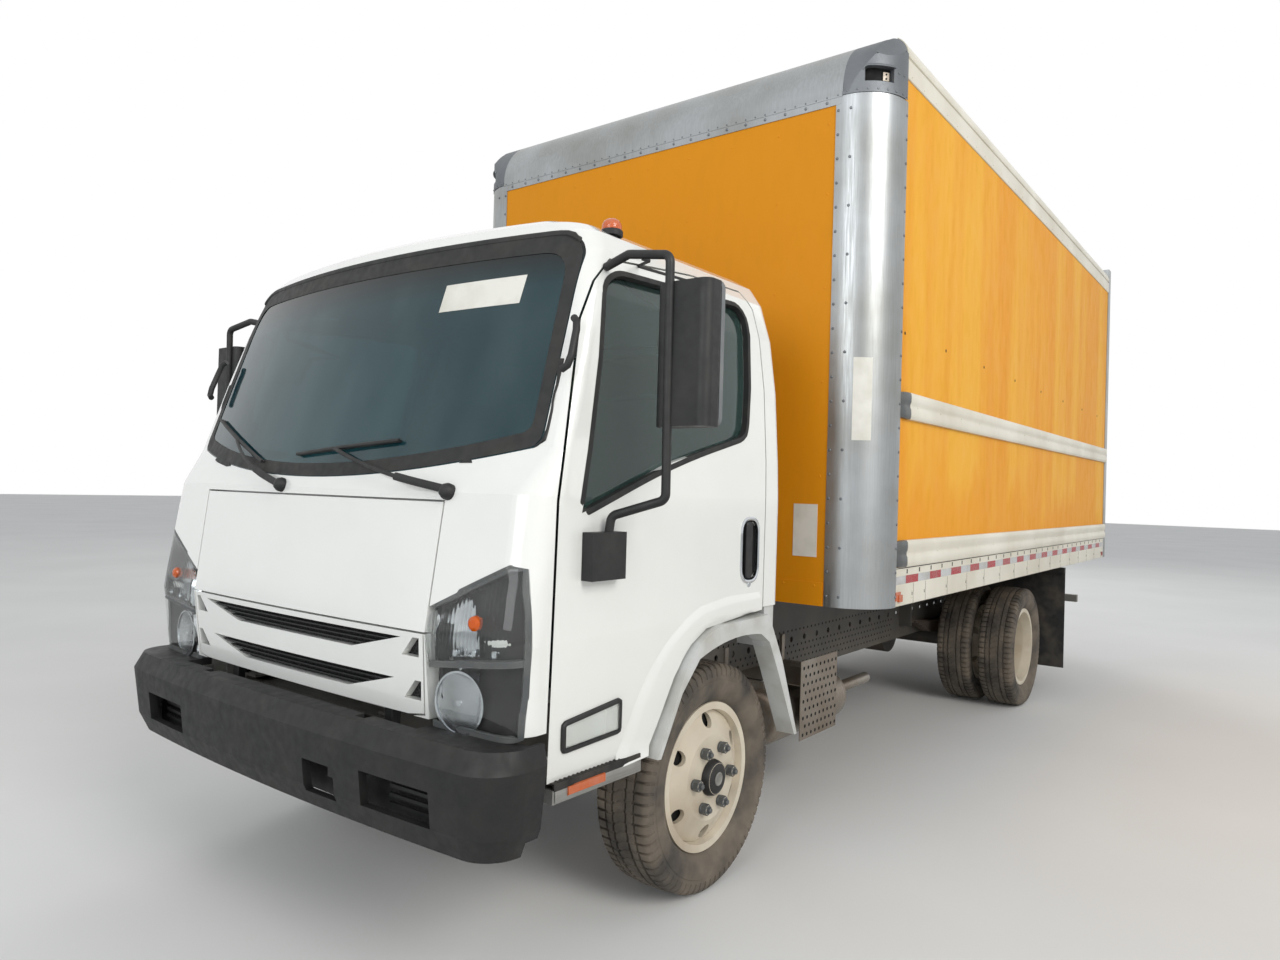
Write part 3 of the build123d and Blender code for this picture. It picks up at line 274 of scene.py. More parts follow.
class Skin:
    """The outer surface of some CAD nodes, on which trim is laid by straight lines of sight."""

    def __init__(self, *nodes: str) -> None:
        """Gather the faces of the named nodes."""
        points: list[Vector] = []
        faces: list[tuple[int, ...]] = []
        for name in nodes:
            mesh = frame["nodes"][name].data
            start = len(points)
            points.extend(v.co * 1000 - Vector((AXLE_X, 0, 0)) for v in mesh.vertices)
            faces.extend(tuple(start + i for i in p.vertices) for p in mesh.polygons)
        self.tree = BVHTree.FromPolygons(points, faces)

    def meet(self, start: Sequence[float], aim: Sequence[float]) -> Optional[Spot]:
        """Find where a line first meets the surface.

        Args:
            start: Where the line starts.
            aim: Its direction.

        Returns:
            The point and the outward normal, or None where the line misses.
        """
        way = Vector(aim).normalized()
        place, normal, _, _ = self.tree.ray_cast(Vector(start), way)
        if place is None:
            return None
        return place, normal if normal.dot(way) < 0 else -normal

    def lifted(self, start: Sequence[float], aim: Sequence[float], proud: float) -> Spot:
        """The point where a line meets the surface, or one 500 mm along it, lifted by a distance."""
        place, normal = self.meet(start, aim) or (Vector(start) + 500 * Vector(aim), -Vector(aim))
        return place + normal * proud, normal

    def beside(self, side: Side, x: float, z: float, proud: float = 0.0) -> Spot:
        """The point of the surface seen from one side at a station and height, lifted by a distance."""
        return self.lifted((x, side.value * 1500, z), (0, -side.value, 0), proud)

    def ahead(self, y: float, z: float, proud: float = 0.0) -> Spot:
        """The point of the surface seen from ahead, lifted by a distance."""
        return self.lifted((1500, y, z), (-1, 0, 0), proud)

    def strip(self, side: Side, along: Sequence[float], section: Sequence[Pair]) -> list[list[Vector]]:
        """Rows of points on one side, one a station, over a section of heights and lifts."""
        return [[self.beside(side, x, z, proud)[0] for z, proud in section] for x in along]


class Nodes:
    """A tree of shader nodes."""

    def __init__(self, tree: bpy.types.NodeTree) -> None:
        """Take up a tree."""
        self.tree = tree

    def fill(self, goal: Socket, value: Value) -> None:
        """Link an input to a socket, or set it to a number, a vector or a colour's code.

        Args:
            goal: The input.
            value: What it gets.
        """
        if isinstance(value, Socket):
            self.tree.links.new(value, goal)
        else:
            goal.default_value = tint(value) if isinstance(value, str) else value

    def add(
        self, kind: str, output: Union[str, int], inputs: dict[Union[str, int], Value], **settings: str
    ) -> Socket:
        """Add a node.

        Args:
            kind: Its type, after the word ShaderNode.
            output: The output that is wanted.
            inputs: What its inputs get.
            settings: Its own settings.

        Returns:
            That output.
        """
        made = self.tree.nodes.new(f"ShaderNode{kind}")
        for key, value in settings.items():
            setattr(made, key, value)
        for key, value in inputs.items():
            self.fill(made.inputs[key], value)
        return made.outputs[output]


class Graph(Nodes):
    """A material's nodes, ending in one Principled shader."""

    def __init__(self, name: str) -> None:
        """Start a material under a name.

        Args:
            name: The material's name.
        """
        self.material = bpy.data.materials.new(name)
        self.material.use_nodes = True
        super().__init__(self.material.node_tree)
        self.place = self.add("TexCoord", "Object", {})

    def stretched(self, stretch: Triple) -> Socket:
        """The object's own coordinates, multiplied along each axis."""
        return self.add("Mapping", "Vector", {"Scale": stretch, "Vector": self.place})

    def noise(self, scale: float, detail: float, stretch: Triple = (1, 1, 1)) -> Socket:
        """Cloudy noise, with its scale in waves a metre."""
        return self.add("TexNoise", "Fac", {"Scale": scale, "Detail": detail, "Vector": self.stretched(stretch)})

    def cells(self, scale: float) -> Socket:
        """Distances from the walls of a pattern of cells."""
        inputs = {"Scale": scale, "Vector": self.stretched((1, 1, 1))}
        return self.add("TexVoronoi", "Distance", inputs, feature="DISTANCE_TO_EDGE")

    def wave(self, scale: float, direction: str) -> Socket:
        """Even bands across one axis."""
        inputs = {"Scale": scale, "Vector": self.stretched((1, 1, 1))}
        return self.add("TexWave", "Fac", inputs, bands_direction=direction)

    def height(self) -> Socket:
        """The height above the ground, in metres."""
        return self.add("SeparateXYZ", "Z", {0: self.place})

    def span(self, source: Socket, low: float, high: float, first: float = 0.0, last: float = 1.0) -> Socket:
        """Carry a number from one range to another, held at its ends."""
        inputs = {"From Min": low, "From Max": high, "To Min": first, "To Max": last, "Value": source}
        return self.add("MapRange", "Result", inputs)

    def product(self, a: Socket, b: Value, kind: str = "MULTIPLY") -> Socket:
        """Two numbers through one sum, a product unless another kind is named."""
        return self.add("Math", 0, {0: a, 1: b}, operation=kind)

    def mix(self, share: Value, first: Value, second: Value) -> Socket:
        """A colour between two, by a share."""
        return self.add("Mix", 2, {0: share, 6: first, 7: second}, data_type="RGBA")

    def close(
        self,
        colour: Value,
        rough: Value,
        dents: Optional[tuple[Socket, float, float]] = None,
        others: Optional[dict[str, float]] = None,
    ) -> bpy.types.Material:
        """Fill the shader.

        Args:
            colour: The base colour.
            rough: The roughness.
            dents: A pattern of heights, its depth in metres and its strength.
            others: Numbers for other inputs.

        Returns:
            The material.
        """
        inputs = self.tree.nodes["Principled BSDF"].inputs
        for key, value in {"Base Color": colour, "Roughness": rough, **(others or {})}.items():
            self.fill(inputs[key], value)
        if dents:
            bump = {"Height": dents[0], "Distance": dents[1], "Strength": dents[2]}
            self.fill(inputs["Normal"], self.add("Bump", "Normal", bump))
        return self.material


class Finish(Protocol):
    """Anything that a material is made from."""

    def make(self) -> bpy.types.Material:
        """Build the material."""


@dataclass(frozen=True)
class Enamel:
    """Sprayed paint: a colour that drifts a little, road dust low down and a faint ripple."""

    name: str
    colour: str
    shade: str
    roughness: float
    coat: float
    dust: str
    dust_top: float
    dust_share: float

    def make(self) -> bpy.types.Material:
        """Build the material.

        Returns:
            The material.
        """
        graph = Graph(self.name)
        base = graph.mix(graph.span(graph.noise(2.2, 5.0), 0.35, 0.7), self.colour, self.shade)
        low = graph.span(graph.height(), self.dust_top, self.dust_top * 0.25)
        film = graph.product(low, graph.span(graph.noise(5.0, 8.0), 0.3, 0.75))
        base = graph.mix(graph.product(film, self.dust_share), base, self.dust)
        rough = graph.span(graph.noise(38.0, 6.0), 0.2, 0.8, self.roughness - 0.02, self.roughness + 0.05)
        ripple = (graph.noise(240.0, 3.0), 0.00005, 0.2)
        return graph.close(base, rough, ripple, {"Coat Weight": self.coat, "Coat Roughness": 0.08})


@dataclass(frozen=True)
class BareMetal:
    """Unpainted metal with a grain along one axis, stained in soft clouds."""

    name: str
    colour: str
    stain: str
    grain: Triple
    roughness: float
    metallic: float = 1.0
    coarse: float = 160.0

    def make(self) -> bpy.types.Material:
        """Build the material.

        Returns:
            The material.
        """
        graph = Graph(self.name)
        lines = graph.noise(self.coarse, 4.0, self.grain)
        base = graph.mix(graph.span(graph.noise(3.0, 6.0), 0.35, 0.75), self.colour, self.stain)
        base = graph.mix(graph.span(lines, 0.3, 0.7, 0.0, 0.35), base, self.stain)
        rough = graph.span(lines, 0.25, 0.75, self.roughness - 0.08, self.roughness + 0.14)
        return graph.close(base, rough, (lines, 0.0003, 0.4), {"Metallic": self.metallic})


@dataclass(frozen=True)
class Moulded:
    """Moulded plastic with a fine grain, greyed where dust and sun have reached it."""

    name: str
    colour: str
    faded: str
    roughness: float = 0.55
    grain: float = 700.0
    depth: float = 0.00025

    def make(self) -> bpy.types.Material:
        """Build the material.

        Returns:
            The material.
        """
        graph = Graph(self.name)
        base = graph.mix(graph.span(graph.noise(9.0, 8.0), 0.42, 0.78), self.colour, self.faded)
        rough = graph.span(graph.noise(30.0, 5.0), 0.3, 0.7, self.roughness - 0.08, self.roughness + 0.1)
        return graph.close(base, rough, (graph.noise(self.grain, 2.0), self.depth, 0.6))


@dataclass(frozen=True)
class TyreRubber:
    """Tyre rubber, browned with road dust in clouds."""

    name: str = "tyre_rubber_dusty"
    rubber: str = "2b2a29"
    dust: str = "7d7264"

    def make(self) -> bpy.types.Material:
        """Build the material.

        Returns:
            The material.
        """
        graph = Graph(self.name)
        base = graph.mix(graph.span(graph.noise(7.0, 9.0), 0.32, 0.72, 0.1, 0.85), self.rubber, self.dust)
        rough = graph.span(graph.noise(22.0, 4.0), 0.3, 0.7, 0.72, 0.92)
        return graph.close(base, rough, (graph.noise(420.0, 4.0), 0.0004, 0.6))


@dataclass(frozen=True)
class Glass:
    """Tinted glass with a hazy film, and a darker band between two heights where it has one."""

    name: str
    tone: str
    clear: float
    band_low: float = 0.0
    band_high: float = 0.0
    band: str = "06090b"

    def make(self) -> bpy.types.Material:
        """Build the material.

        Returns:
            The material.
        """
        graph = Graph(self.name)
        haze = graph.span(graph.noise(3.5, 8.0, (1.0, 1.0, 0.35)), 0.4, 0.8)
        base = graph.mix(graph.product(haze, 0.35), self.tone, "86a09f")
        if self.band_high > self.band_low:
            base = graph.mix(graph.span(graph.height(), self.band_low, self.band_high), base, self.band)
        rough = graph.span(haze, 0.0, 1.0, 0.02, 0.12)
        return graph.close(base, rough, others={"Transmission Weight": self.clear, "IOR": 1.45})


@dataclass(frozen=True)
class Lens:
    """Moulded lens plastic, with upright ribs where their number a metre is given."""

    name: str
    colour: str
    clear: float
    ribs: float = 0.0
    roughness: float = 0.08
    bend: float = 1.49
    coat: float = 0.0

    def make(self) -> bpy.types.Material:
        """Build the material.

        Returns:
            The material.
        """
        graph = Graph(self.name)
        film = graph.span(graph.noise(14.0, 6.0), 0.35, 0.75)
        base = graph.mix(graph.product(film, 0.3), self.colour, "cfcabd")
        rough = graph.span(film, 0.0, 1.0, self.roughness, self.roughness + 0.1)
        dents = (graph.wave(self.ribs, "Y"), 0.003, 0.9) if self.ribs > 0 else None
        others = {"Transmission Weight": self.clear, "IOR": self.bend, "Coat Weight": self.coat}
        return graph.close(base, rough, dents, others)


@dataclass(frozen=True)
class FadedYellow:
    """Yellow body paint, bleached in upright streaks whose lower ends are uneven."""

    name: str
    colour: str
    pale: str
    streaked: bool = True

    def make(self) -> bpy.types.Material:
        """Build the material.

        Returns:
            The material.
        """
        graph = Graph(self.name)
        clouds = graph.span(graph.noise(1.1, 6.0), 0.35, 0.7)
        base = graph.mix(graph.product(clouds, 0.35), self.colour, self.pale)
        if self.streaked:
            streaks = graph.span(graph.noise(2.6, 3.0, (1.0, 1.0, 0.1)), 0.46, 0.62)
            lobes = graph.product(graph.noise(2.4, 2.0, (1.0, 1.0, 0.35)), 1.3)
            reach = graph.span(graph.product(graph.height(), lobes, "ADD"), 1.95, 2.12)
            base = graph.mix(graph.product(graph.product(streaks, reach), 0.55), base, "ecb634")
        fine = graph.noise(26.0, 8.0, (1.0, 1.0, 0.3))
        base = graph.mix(graph.span(fine, 0.5, 0.8, 0.0, 0.14), base, "b98220")
        ripple = (graph.noise(1.5, 2.0, (1.0, 1.0, 0.5)), 0.002, 0.25)
        return graph.close(base, graph.span(fine, 0.3, 0.7, 0.48, 0.62), ripple, {"Specular IOR Level": 0.3})


@dataclass(frozen=True)
class Reflector:
    """Reflective sheeting with its pattern of small cells."""

    name: str
    colour: str
    line: str

    def make(self) -> bpy.types.Material:
        """Build the material.

        Returns:
            The material.
        """
        graph = Graph(self.name)
        cell = graph.span(graph.cells(160.0), 0.02, 0.1)
        grime = graph.span(graph.noise(12.0, 7.0), 0.45, 0.8, 0.0, 0.5)
        base = graph.mix(grime, graph.mix(cell, self.line, self.colour), "8d8478")
        return graph.close(base, graph.span(cell, 0.0, 1.0, 0.45, 0.22), (cell, 0.0002, 0.5))


@dataclass(frozen=True)
class Weave:
    """Seat cloth with a two-way weave."""

    name: str
    thread: str
    gap: str

    def make(self) -> bpy.types.Material:
        """Build the material.

        Returns:
            The material.
        """
        graph = Graph(self.name)
        cross = graph.product(graph.wave(420.0, "X"), graph.wave(420.0, "Y"))
        worn = graph.span(graph.noise(8.0, 6.0), 0.4, 0.75, 0.0, 0.5)
        base = graph.mix(worn, graph.mix(cross, self.gap, self.thread), "6d6f73")
        rough = graph.span(cross, 0.0, 1.0, 0.95, 0.8)
        return graph.close(base, rough, (cross, 0.0006, 0.7), {"Sheen Weight": 0.3})


@dataclass(frozen=True)
class Planks:
    """Laminated floor boards running along the body."""

    name: str = "floor_boards"
    pale: str = "a07c4d"
    dark: str = "6b4a29"

    def make(self) -> bpy.types.Material:
        """Build the material.

        Returns:
            The material.
        """
        graph = Graph(self.name)
        grain = graph.noise(60.0, 6.0, (0.05, 1.0, 1.0))
        seams = graph.span(graph.wave(1.6, "Y"), 0.0, 0.04)
        base = graph.mix(seams, "2a1c10", graph.mix(grain, self.pale, self.dark))
        return graph.close(base, graph.span(grain, 0.2, 0.8, 0.5, 0.75), (grain, 0.0006, 0.5))


@dataclass(frozen=True)
class Perforated:
    """Dark mesh plastic: raised walls between small cells, the cells near black as painted shade through the holes.
    """

    name: str
    wall: str
    hollow: str
    scale: float = 95.0

    def make(self) -> bpy.types.Material:
        """Build the material.

        Returns:
            The material.
        """
        graph = Graph(self.name)
        wall = graph.span(graph.cells(self.scale), 0.08, 0.16, 1.0, 0.0)
        # The cells take a near-black colour: painted shade seen through the mesh's holes.
        base = graph.mix(wall, self.hollow, self.wall)
        return graph.close(base, graph.span(wall, 0.0, 1.0, 0.9, 0.5), (wall, 0.004, 1.0))


class Palette:
    """Every finish of the truck, made once and looked up by the place it is used."""

    def __init__(self) -> None:
        """Build the materials."""
        along, upright, even = (0.04, 1.0, 1.0), (1.0, 1.0, 0.04), (1.0, 1.0, 1.0)
        finishes: dict[str, Finish] = {
            "cab_white": Enamel("cab_white_paint", "e4e5e1", "dfe0dc", 0.2, 0.8, "b3a893", 0.9, 0.18),
            "door_white": Enamel("shutter_white", "dcdcd6", "c9c9c2", 0.35, 0.3, "9b9283", 1.6, 0.4),
            "wheel_cream": Enamel("wheel_enamel", "ddd5c4", "c5b9a3", 0.42, 0.1, "86735c", 0.9, 0.6),
            "rail_cream": Enamel("rail_enamel", "ddd9cb", "c6c0ad", 0.4, 0.15, "8f8674", 1.3, 0.35),
            "frame_paint": Enamel("chassis_grey", "52514e", "3f3e3c", 0.55, 0.0, "7b7263", 0.9, 0.75),
            "axle_iron": Enamel("axle_black", "2c2b2a", "3d3833", 0.65, 0.0, "75695a", 0.6, 0.7),
            "spring_steel": Enamel("spring_black", "343230", "4a3c31", 0.6, 0.0, "75695a", 0.8, 0.7),
            "engine_iron": Enamel("engine_grey", "5d5f60", "43403c", 0.5, 0.0, "6f6558", 1.0, 0.6),
            "raw_steel": BareMetal("heat_stained_steel", "a7a39b", "7b6c5c", (1.0, 1.0, 0.3), 0.42, 0.85),
            "tank_metal": BareMetal("tank_aluminium", "c3c5c6", "96958f", along, 0.34),
            "bare_aluminium": BareMetal("nose_aluminium", "a9adb0", "8b8c88", upright, 0.36),
            # The casting grey also darkens the nose's aluminium rivets: painted shade round each head.
            "cast_grey": BareMetal("cast_corner", "7d8185", "5d6064", even, 0.5, 0.6, 420.0),
            "body_yellow": FadedYellow("van_side_yellow", "e19400", "e8a410"),
            # The front wall's yellow is a darker copy of the side's yellow: painted shade on the front.
            "front_yellow": FadedYellow("van_front_yellow", "d98c00", "d08400", False),
            "black_plastic": Moulded("black_moulding", "111213", "222120"),
            "bumper_black": Moulded("bumper_moulding", "0d0e0f", "1d1b19", 0.6, 480.0, 0.0004),
            "grey_plastic": Moulded("trim_grey", "6a6d6f", "7d7f7f", 0.6),
            "flare_grey": Moulded("flare_grey", "c3c5c3", "a9a79f", 0.42, 500.0),
            "lamp_dark": Moulded("lamp_frame_grey", "4c4f50", "616260", 0.35),
            "seal_black": Moulded("seal_rubber", "121314", "24241f", 0.62, 900.0, 0.0001),
            "flap_rubber": Moulded("flap_rubber", "1b1b1b", "4a443b", 0.75, 300.0),
            "step_grey": BareMetal("step_edge", "a5a7a6", "7c776d", (0.05, 1.0, 1.0), 0.4, 0.7),
            "tread_black": Moulded("tread_black", "151515", "4b463f", 0.7, 350.0, 0.0005),
            "tyre_rubber": TyreRubber(),
            "cab_glass": Glass("screen_glass", "1d535e", 0.68, 2.02, 2.14),
            # The side glass's pale tone is partly its tint and partly a painted reflection that lightens it.
            "side_glass": Glass("side_glass", "7d9a94", 0.92),
            "mirror_glass": BareMetal("mirror_silver", "c9ced2", "b9bec2", even, 0.1, 1.0, 8.0),
            "lens_clear": Lens("lens_clear", "f1f4f4", 1.0, roughness=0.0, bend=1.02, coat=1.0),
            "lens_ribbed": Lens("lens_ribbed", "e3e8e8", 0.97, 22.0, roughness=0.02, bend=1.12, coat=0.8),
            "lamp_amber": Lens("lens_amber", "e0620c", 0.35),
            "lamp_red": Lens("lens_red", "a30f12", 0.3),
            "chrome": BareMetal("bright_reflector", "dfe3e6", "b7bcc0", even, 0.12, 1.0, 20.0),
            "tape_red": Reflector("tape_red", "b3202a", "7c1219"),
            "tape_white": Reflector("tape_silver", "c9cbcb", "9a9c9c"),
            "label_white": Moulded("label_film", "dddcd4", "c4c2b6", 0.4, 200.0, 0.0001),
            "seat_fabric": Weave("seat_cloth", "4a4d53", "2c2e33"),
            "floor_wood": Planks(),
            "mesh_black": Perforated("grille_mesh_black", "202122", "050505"),
            # Near black for the painted shade in holes, slots and recesses; it also draws the dark joint lines of the
            # bottom rail.
            "hole_black": Moulded("hole_shadow", "0b0b0b", "191714", 0.9),
        }
        self.made = {key: finish.make() for key, finish in finishes.items()}

    def __getitem__(self, key: str) -> bpy.types.Material:
        """The material for a place."""
        return self.made[key]


class Draft:
    """A mesh put together in millimetres ahead of the front axle, across and up."""

    def __init__(self, palette: Palette, *looks: str) -> None:
        """Start with nothing, in the first of the finishes named.

        Args:
            palette: The truck's finishes.
            looks: The places whose finishes the draft uses.
        """
        self.mesh = bmesh.new()
        self.palette = palette
        self.looks = looks
        self.index = 0

    def use(self, look: str) -> None:
        """Draw what follows in another of the finishes."""
        self.index = self.looks.index(look)

    def face(self, corners: Sequence[bmesh.types.BMVert]) -> None:
        """Add one face in the current finish."""
        self.mesh.faces.new(corners).material_index = self.index

    def patch(self, points: Points) -> None:
        """Add one loose face with corners of its own."""
        self.face([self.mesh.verts.new(tuple(p)) for p in points])

    def sheet(self, rows: Sequence[Points], ring: bool = False, loop: bool = False) -> list[list[bmesh.types.BMVert]]:
        """Join rows of points into a surface.

        Args:
            rows: The rows, all of one length.
            ring: Whether each row closes on itself.
            loop: Whether the last row joins the first.

        Returns:
            The vertices, row by row.
        """
        grid = [[self.mesh.verts.new(tuple(p)) for p in row] for row in rows]
        for a, b in list(zip(grid, grid[1:])) + ([(grid[-1], grid[0])] if loop else []):
            for j in range(len(a) if ring else len(a) - 1):
                k = (j + 1) % len(a)
                self.face((a[j], a[k], b[k], b[j]))
        return grid

    def shell(self, rows: Sequence[Points]) -> None:
        """Join rows that close on themselves, and cap both ends.

        Args:
            rows: The rows, all of one length.
        """
        grid = self.sheet(rows, ring=True)
        self.face(list(reversed(grid[0])))
        self.face(grid[-1])

    def box(self, low: Triple, high: Triple) -> None:
        """A box between two corners."""
        ring = [(low[0], low[1]), (high[0], low[1]), (high[0], high[1]), (low[0], high[1])]
        self.shell([[(x, y, z) for x, y in ring] for z in (low[2], high[2])])

    def prism(self, outline: Sequence[Pair], plane: Plane, start: float, end: float) -> None:
        """Push a flat outline through a distance along the third axis."""
        self.shell([[plane.at(p, depth) for p in outline] for depth in (start, end)])

    def turned(self, profile: Sequence[Pair], centre: Sequence[float], axis: Sequence[float], sides: int) -> None:
        """Spin a profile about an axis.

        Args:
            profile: Radius and distance along the axis, from one end to the other.
            centre: Where the axis starts.
            axis: Its direction.
            sides: How many faces go round.
        """
        along = Vector(axis).normalized()
        first = along.orthogonal().normalized()
        second = along.cross(first)
        rows = []
        for radius, rise in profile:
            middle, reach = Vector(centre) + along * rise, max(radius, 0.05)
            rows.append([middle + (first * math.cos(t) + second * math.sin(t)) * reach for t in turns(sides)])
        self.shell(rows)

    def tube(self, path: Points, radius: float, sides: int, flat: float = 1.0) -> None:
        """A round or flattened bar along a path.

        Args:
            path: The points on its middle line.
            radius: Half its width.
            sides: How many faces go round.
            flat: Its thickness as a share of its width.
        """
        points = [Vector(p) for p in path]
        rows = []
        up = Vector((1, 0, 0.3)).normalized()
        for i, here in enumerate(points):
            way = (points[min(i + 1, len(points) - 1)] - points[max(i - 1, 0)]).normalized()
            across = way.cross(up).normalized()
            out = across.cross(way)
            rows.append(
                [here + across * radius * math.cos(t) + out * radius * flat * math.sin(t) for t in turns(sides)]
            )
        self.shell(rows)

    def band(self, spots: Sequence[Spot], profile: Sequence[Pair], closed: bool = True) -> None:
        """Draw a strip of one section along a path on a surface.

        Args:
            spots: Points on the surface with their outward normals.
            profile: The section, as distances to the left of the path and out of the surface.
            closed: Whether the path runs back to its start.
        """
        rows = []
        count = len(spots)
        for i, (here, normal) in enumerate(spots):
            after = spots[(i + 1) % count][0] if closed or i < count - 1 else here
            before = spots[i - 1][0] if closed or i > 0 else here
            left = normal.cross((after - before).normalized()).normalized()
            rows.append([here + left * a + normal * b for a, b in profile])
        if closed:
            self.sheet(rows, ring=True, loop=True)
        else:
            self.shell(rows)

    def rivet(self, place: Sequence[float], normal: Sequence[float], radius: float, rise: float) -> None:
        """A low round head on a surface."""
        profile = [(radius, -0.5), (radius, rise * 0.3), (radius * 0.72, rise * 0.85), (radius * 0.2, rise)]
        self.turned(profile, place, normal, 10)

    def finish(
        self, name: str, body: str, slot: str, bevel: float = 0.0, angle: float = 35.0, replaces: str = ""
    ) -> bpy.types.Object:
        """Turn the draft into a piece that rides on a body.

        Args:
            name: The piece's name.
            body: The body that it rides on.
            slot: The record's material slot; not used.
            bevel: How far its edges are rounded, in millimetres.
            angle: The largest angle that still shades smoothly, in degrees.
            replaces: The CAD node that it stands for, where there is one.

        Returns:
            The new object.
        """
        bmesh.ops.recalc_face_normals(self.mesh, faces=self.mesh.faces)
        for vert in self.mesh.verts:
            vert.co = metres(vert.co)
        data = baked(self.mesh, name, angle)
        for look in self.looks:
            data.materials.append(self.palette[look])
        piece = placed(name, data)
        if bevel > 0:
            edge = piece.modifiers.new("edge", "BEVEL")
            edge.width = bevel / 1000
            edge.segments = 2
            edge.limit_method = "ANGLE"
            edge.angle_limit = math.radians(30)
        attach(piece, body)
        if replaces:
            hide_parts(replaces)
        return piece


@dataclass
class Studio:
    """A pale floor, soft lamps from the driver's side and the photograph's camera."""

    floor_half: float = 60.0
    camera_place: Triple = (2658.6, 2609.2, 1426.2)
    yaw: float = 0.6528486
    pitch: float = 0.0096060
    roll: float = 0.0283410
    focal_px: float = 875.2
    image_px: float = 1280.0
    sensor: float = 36.0
    world_strength: float = 0.55
    lamp_size: float = 6.0
    # name, place and aim in metres, power, colour
    lamps: tuple[tuple[str, Triple, Triple, float, Triple], ...] = (
        ("key", (5.5, 11.0, 7.5), (1.0, 0.0, 1.2), 860.0, (1.0, 0.975, 0.94)),
        ("front", (14.0, 1.5, 5.0), (2.0, 0.0, 1.3), 420.0, (0.96, 0.98, 1.0)),
        ("back", (-12.0, -7.0, 8.0), (-1.0, 0.0, 1.5), 520.0, (1.0, 0.99, 0.97)),
    )

    def floor(self) -> None:
        """Lay the floor."""
        mesh = bpy.data.meshes.new("studio_floor")
        r = self.floor_half
        mesh.from_pydata([(-r, -r, 0), (r, -r, 0), (r, r, 0), (-r, r, 0)], [], [(0, 1, 2, 3)])
        graph = Graph("pale_floor")
        clouds = graph.span(graph.noise(0.6, 3.0), 0.3, 0.7)
        mesh.materials.append(graph.close(graph.mix(clouds, "dcdcda", "e2e2e0"), 0.8))
        placed("studio_floor", mesh)

    def world(self) -> None:
        """Light the scene evenly, with white behind it for the camera, gloss and glass."""
        world = bpy.data.worlds.new("studio")
        bpy.context.scene.world = world
        world.use_nodes = True
        nodes = Nodes(world.node_tree)
        nodes.tree.nodes.clear()
        out = nodes.tree.nodes.new("ShaderNodeOutputWorld")
        ray = nodes.tree.nodes.new("ShaderNodeLightPath").outputs
        seen = nodes.add("Background", 0, {"Color": (1.0, 1.0, 1.0, 1.0), "Strength": 1.0})
        cast = nodes.add("Background", 0, {"Color": (0.93, 0.96, 1.0, 1.0), "Strength": self.world_strength})
        direct = nodes.add("Math", 0, {0: ray["Is Camera Ray"], 1: ray["Is Glossy Ray"]}, operation="MAXIMUM")
        share = nodes.add("Math", 0, {0: direct, 1: ray["Is Transmission Ray"]}, operation="MAXIMUM")
        nodes.fill(out.inputs["Surface"], nodes.add("MixShader", 0, {0: share, 1: cast, 2: seen}))

    def light(self) -> None:
        """Hang the soft square lamps."""
        for name, place, aim, power, colour in self.lamps:
            data = bpy.data.lights.new(name, "AREA")
            data.shape = "SQUARE"
            data.size = self.lamp_size
            data.energy = power
            data.color = colour
            lamp = placed(name, data)
            lamp.location = place
            lamp.rotation_euler = (Vector(aim) - Vector(place)).to_track_quat("-Z", "Y").to_euler()

    def camera(self) -> None:
        """Stand the camera where the photograph was taken from."""
        yaw, pitch = self.yaw, self.pitch
        forward = Vector((-math.cos(yaw) * math.cos(pitch), -math.sin(yaw) * math.cos(pitch), math.sin(pitch)))
        level = forward.cross(Vector(UP)).normalized()
        upright = level.cross(forward)
        right = level * math.cos(self.roll) + upright * math.sin(self.roll)
        up = upright * math.cos(self.roll) - level * math.sin(self.roll)
        data = bpy.data.cameras.new("photograph_view")
        data.sensor_width = self.sensor
        data.lens = self.focal_px / self.image_px * self.sensor
        data.clip_start = 0.05
        data.clip_end = 300.0
        camera = placed("photograph_view", data)
        axes = Matrix((right, up, -forward)).transposed()
        camera.matrix_world = Matrix.Translation(metres(self.camera_place)) @ axes.to_4x4()
        bpy.context.scene.camera = camera

    def build(self) -> None:
        """Set the stage."""
        self.floor()
        self.world()
        self.light()
        self.camera()
        bpy.context.scene.view_settings.view_transform = "Standard"
        log.info("studio: floor, world, lamps and camera")


@dataclass
class SubAssembly:
    """A group of pieces, with the finishes that they draw on."""

    palette: Palette

    def draft(self, *looks: str) -> Draft:
        """An empty draft in some finishes."""
        return Draft(self.palette, *looks)


@dataclass
class CadFinishes(SubAssembly):
    """The CAD nodes that stay in view, each with a better finish."""

    def build(self) -> None:
        """Give every CAD node the material of its slot, or one of its own."""
        own = {
            # the front wall takes the darker front yellow, which is painted shade
            "box_front_wall": "front_yellow",
            "front_bumper": "bumper_black",
            "door_glass_left": "side_glass",
            "door_glass_right": "side_glass",
            "steps": "step_grey",
            "rear_bumper": "step_grey",
        }
        slots = {part["node"]: part["material_slot"] for part in frame["record"]["subparts"]}
        for name, node in frame["nodes"].items():
            key = own.get(name, slots[name])
            key = "lens_clear" if key == "lamp_lens" else key
            for i in range(len(node.data.materials)):
                node.data.materials[i] = self.palette[key]
        log.info("CAD nodes: %d finished", len(frame["nodes"]))


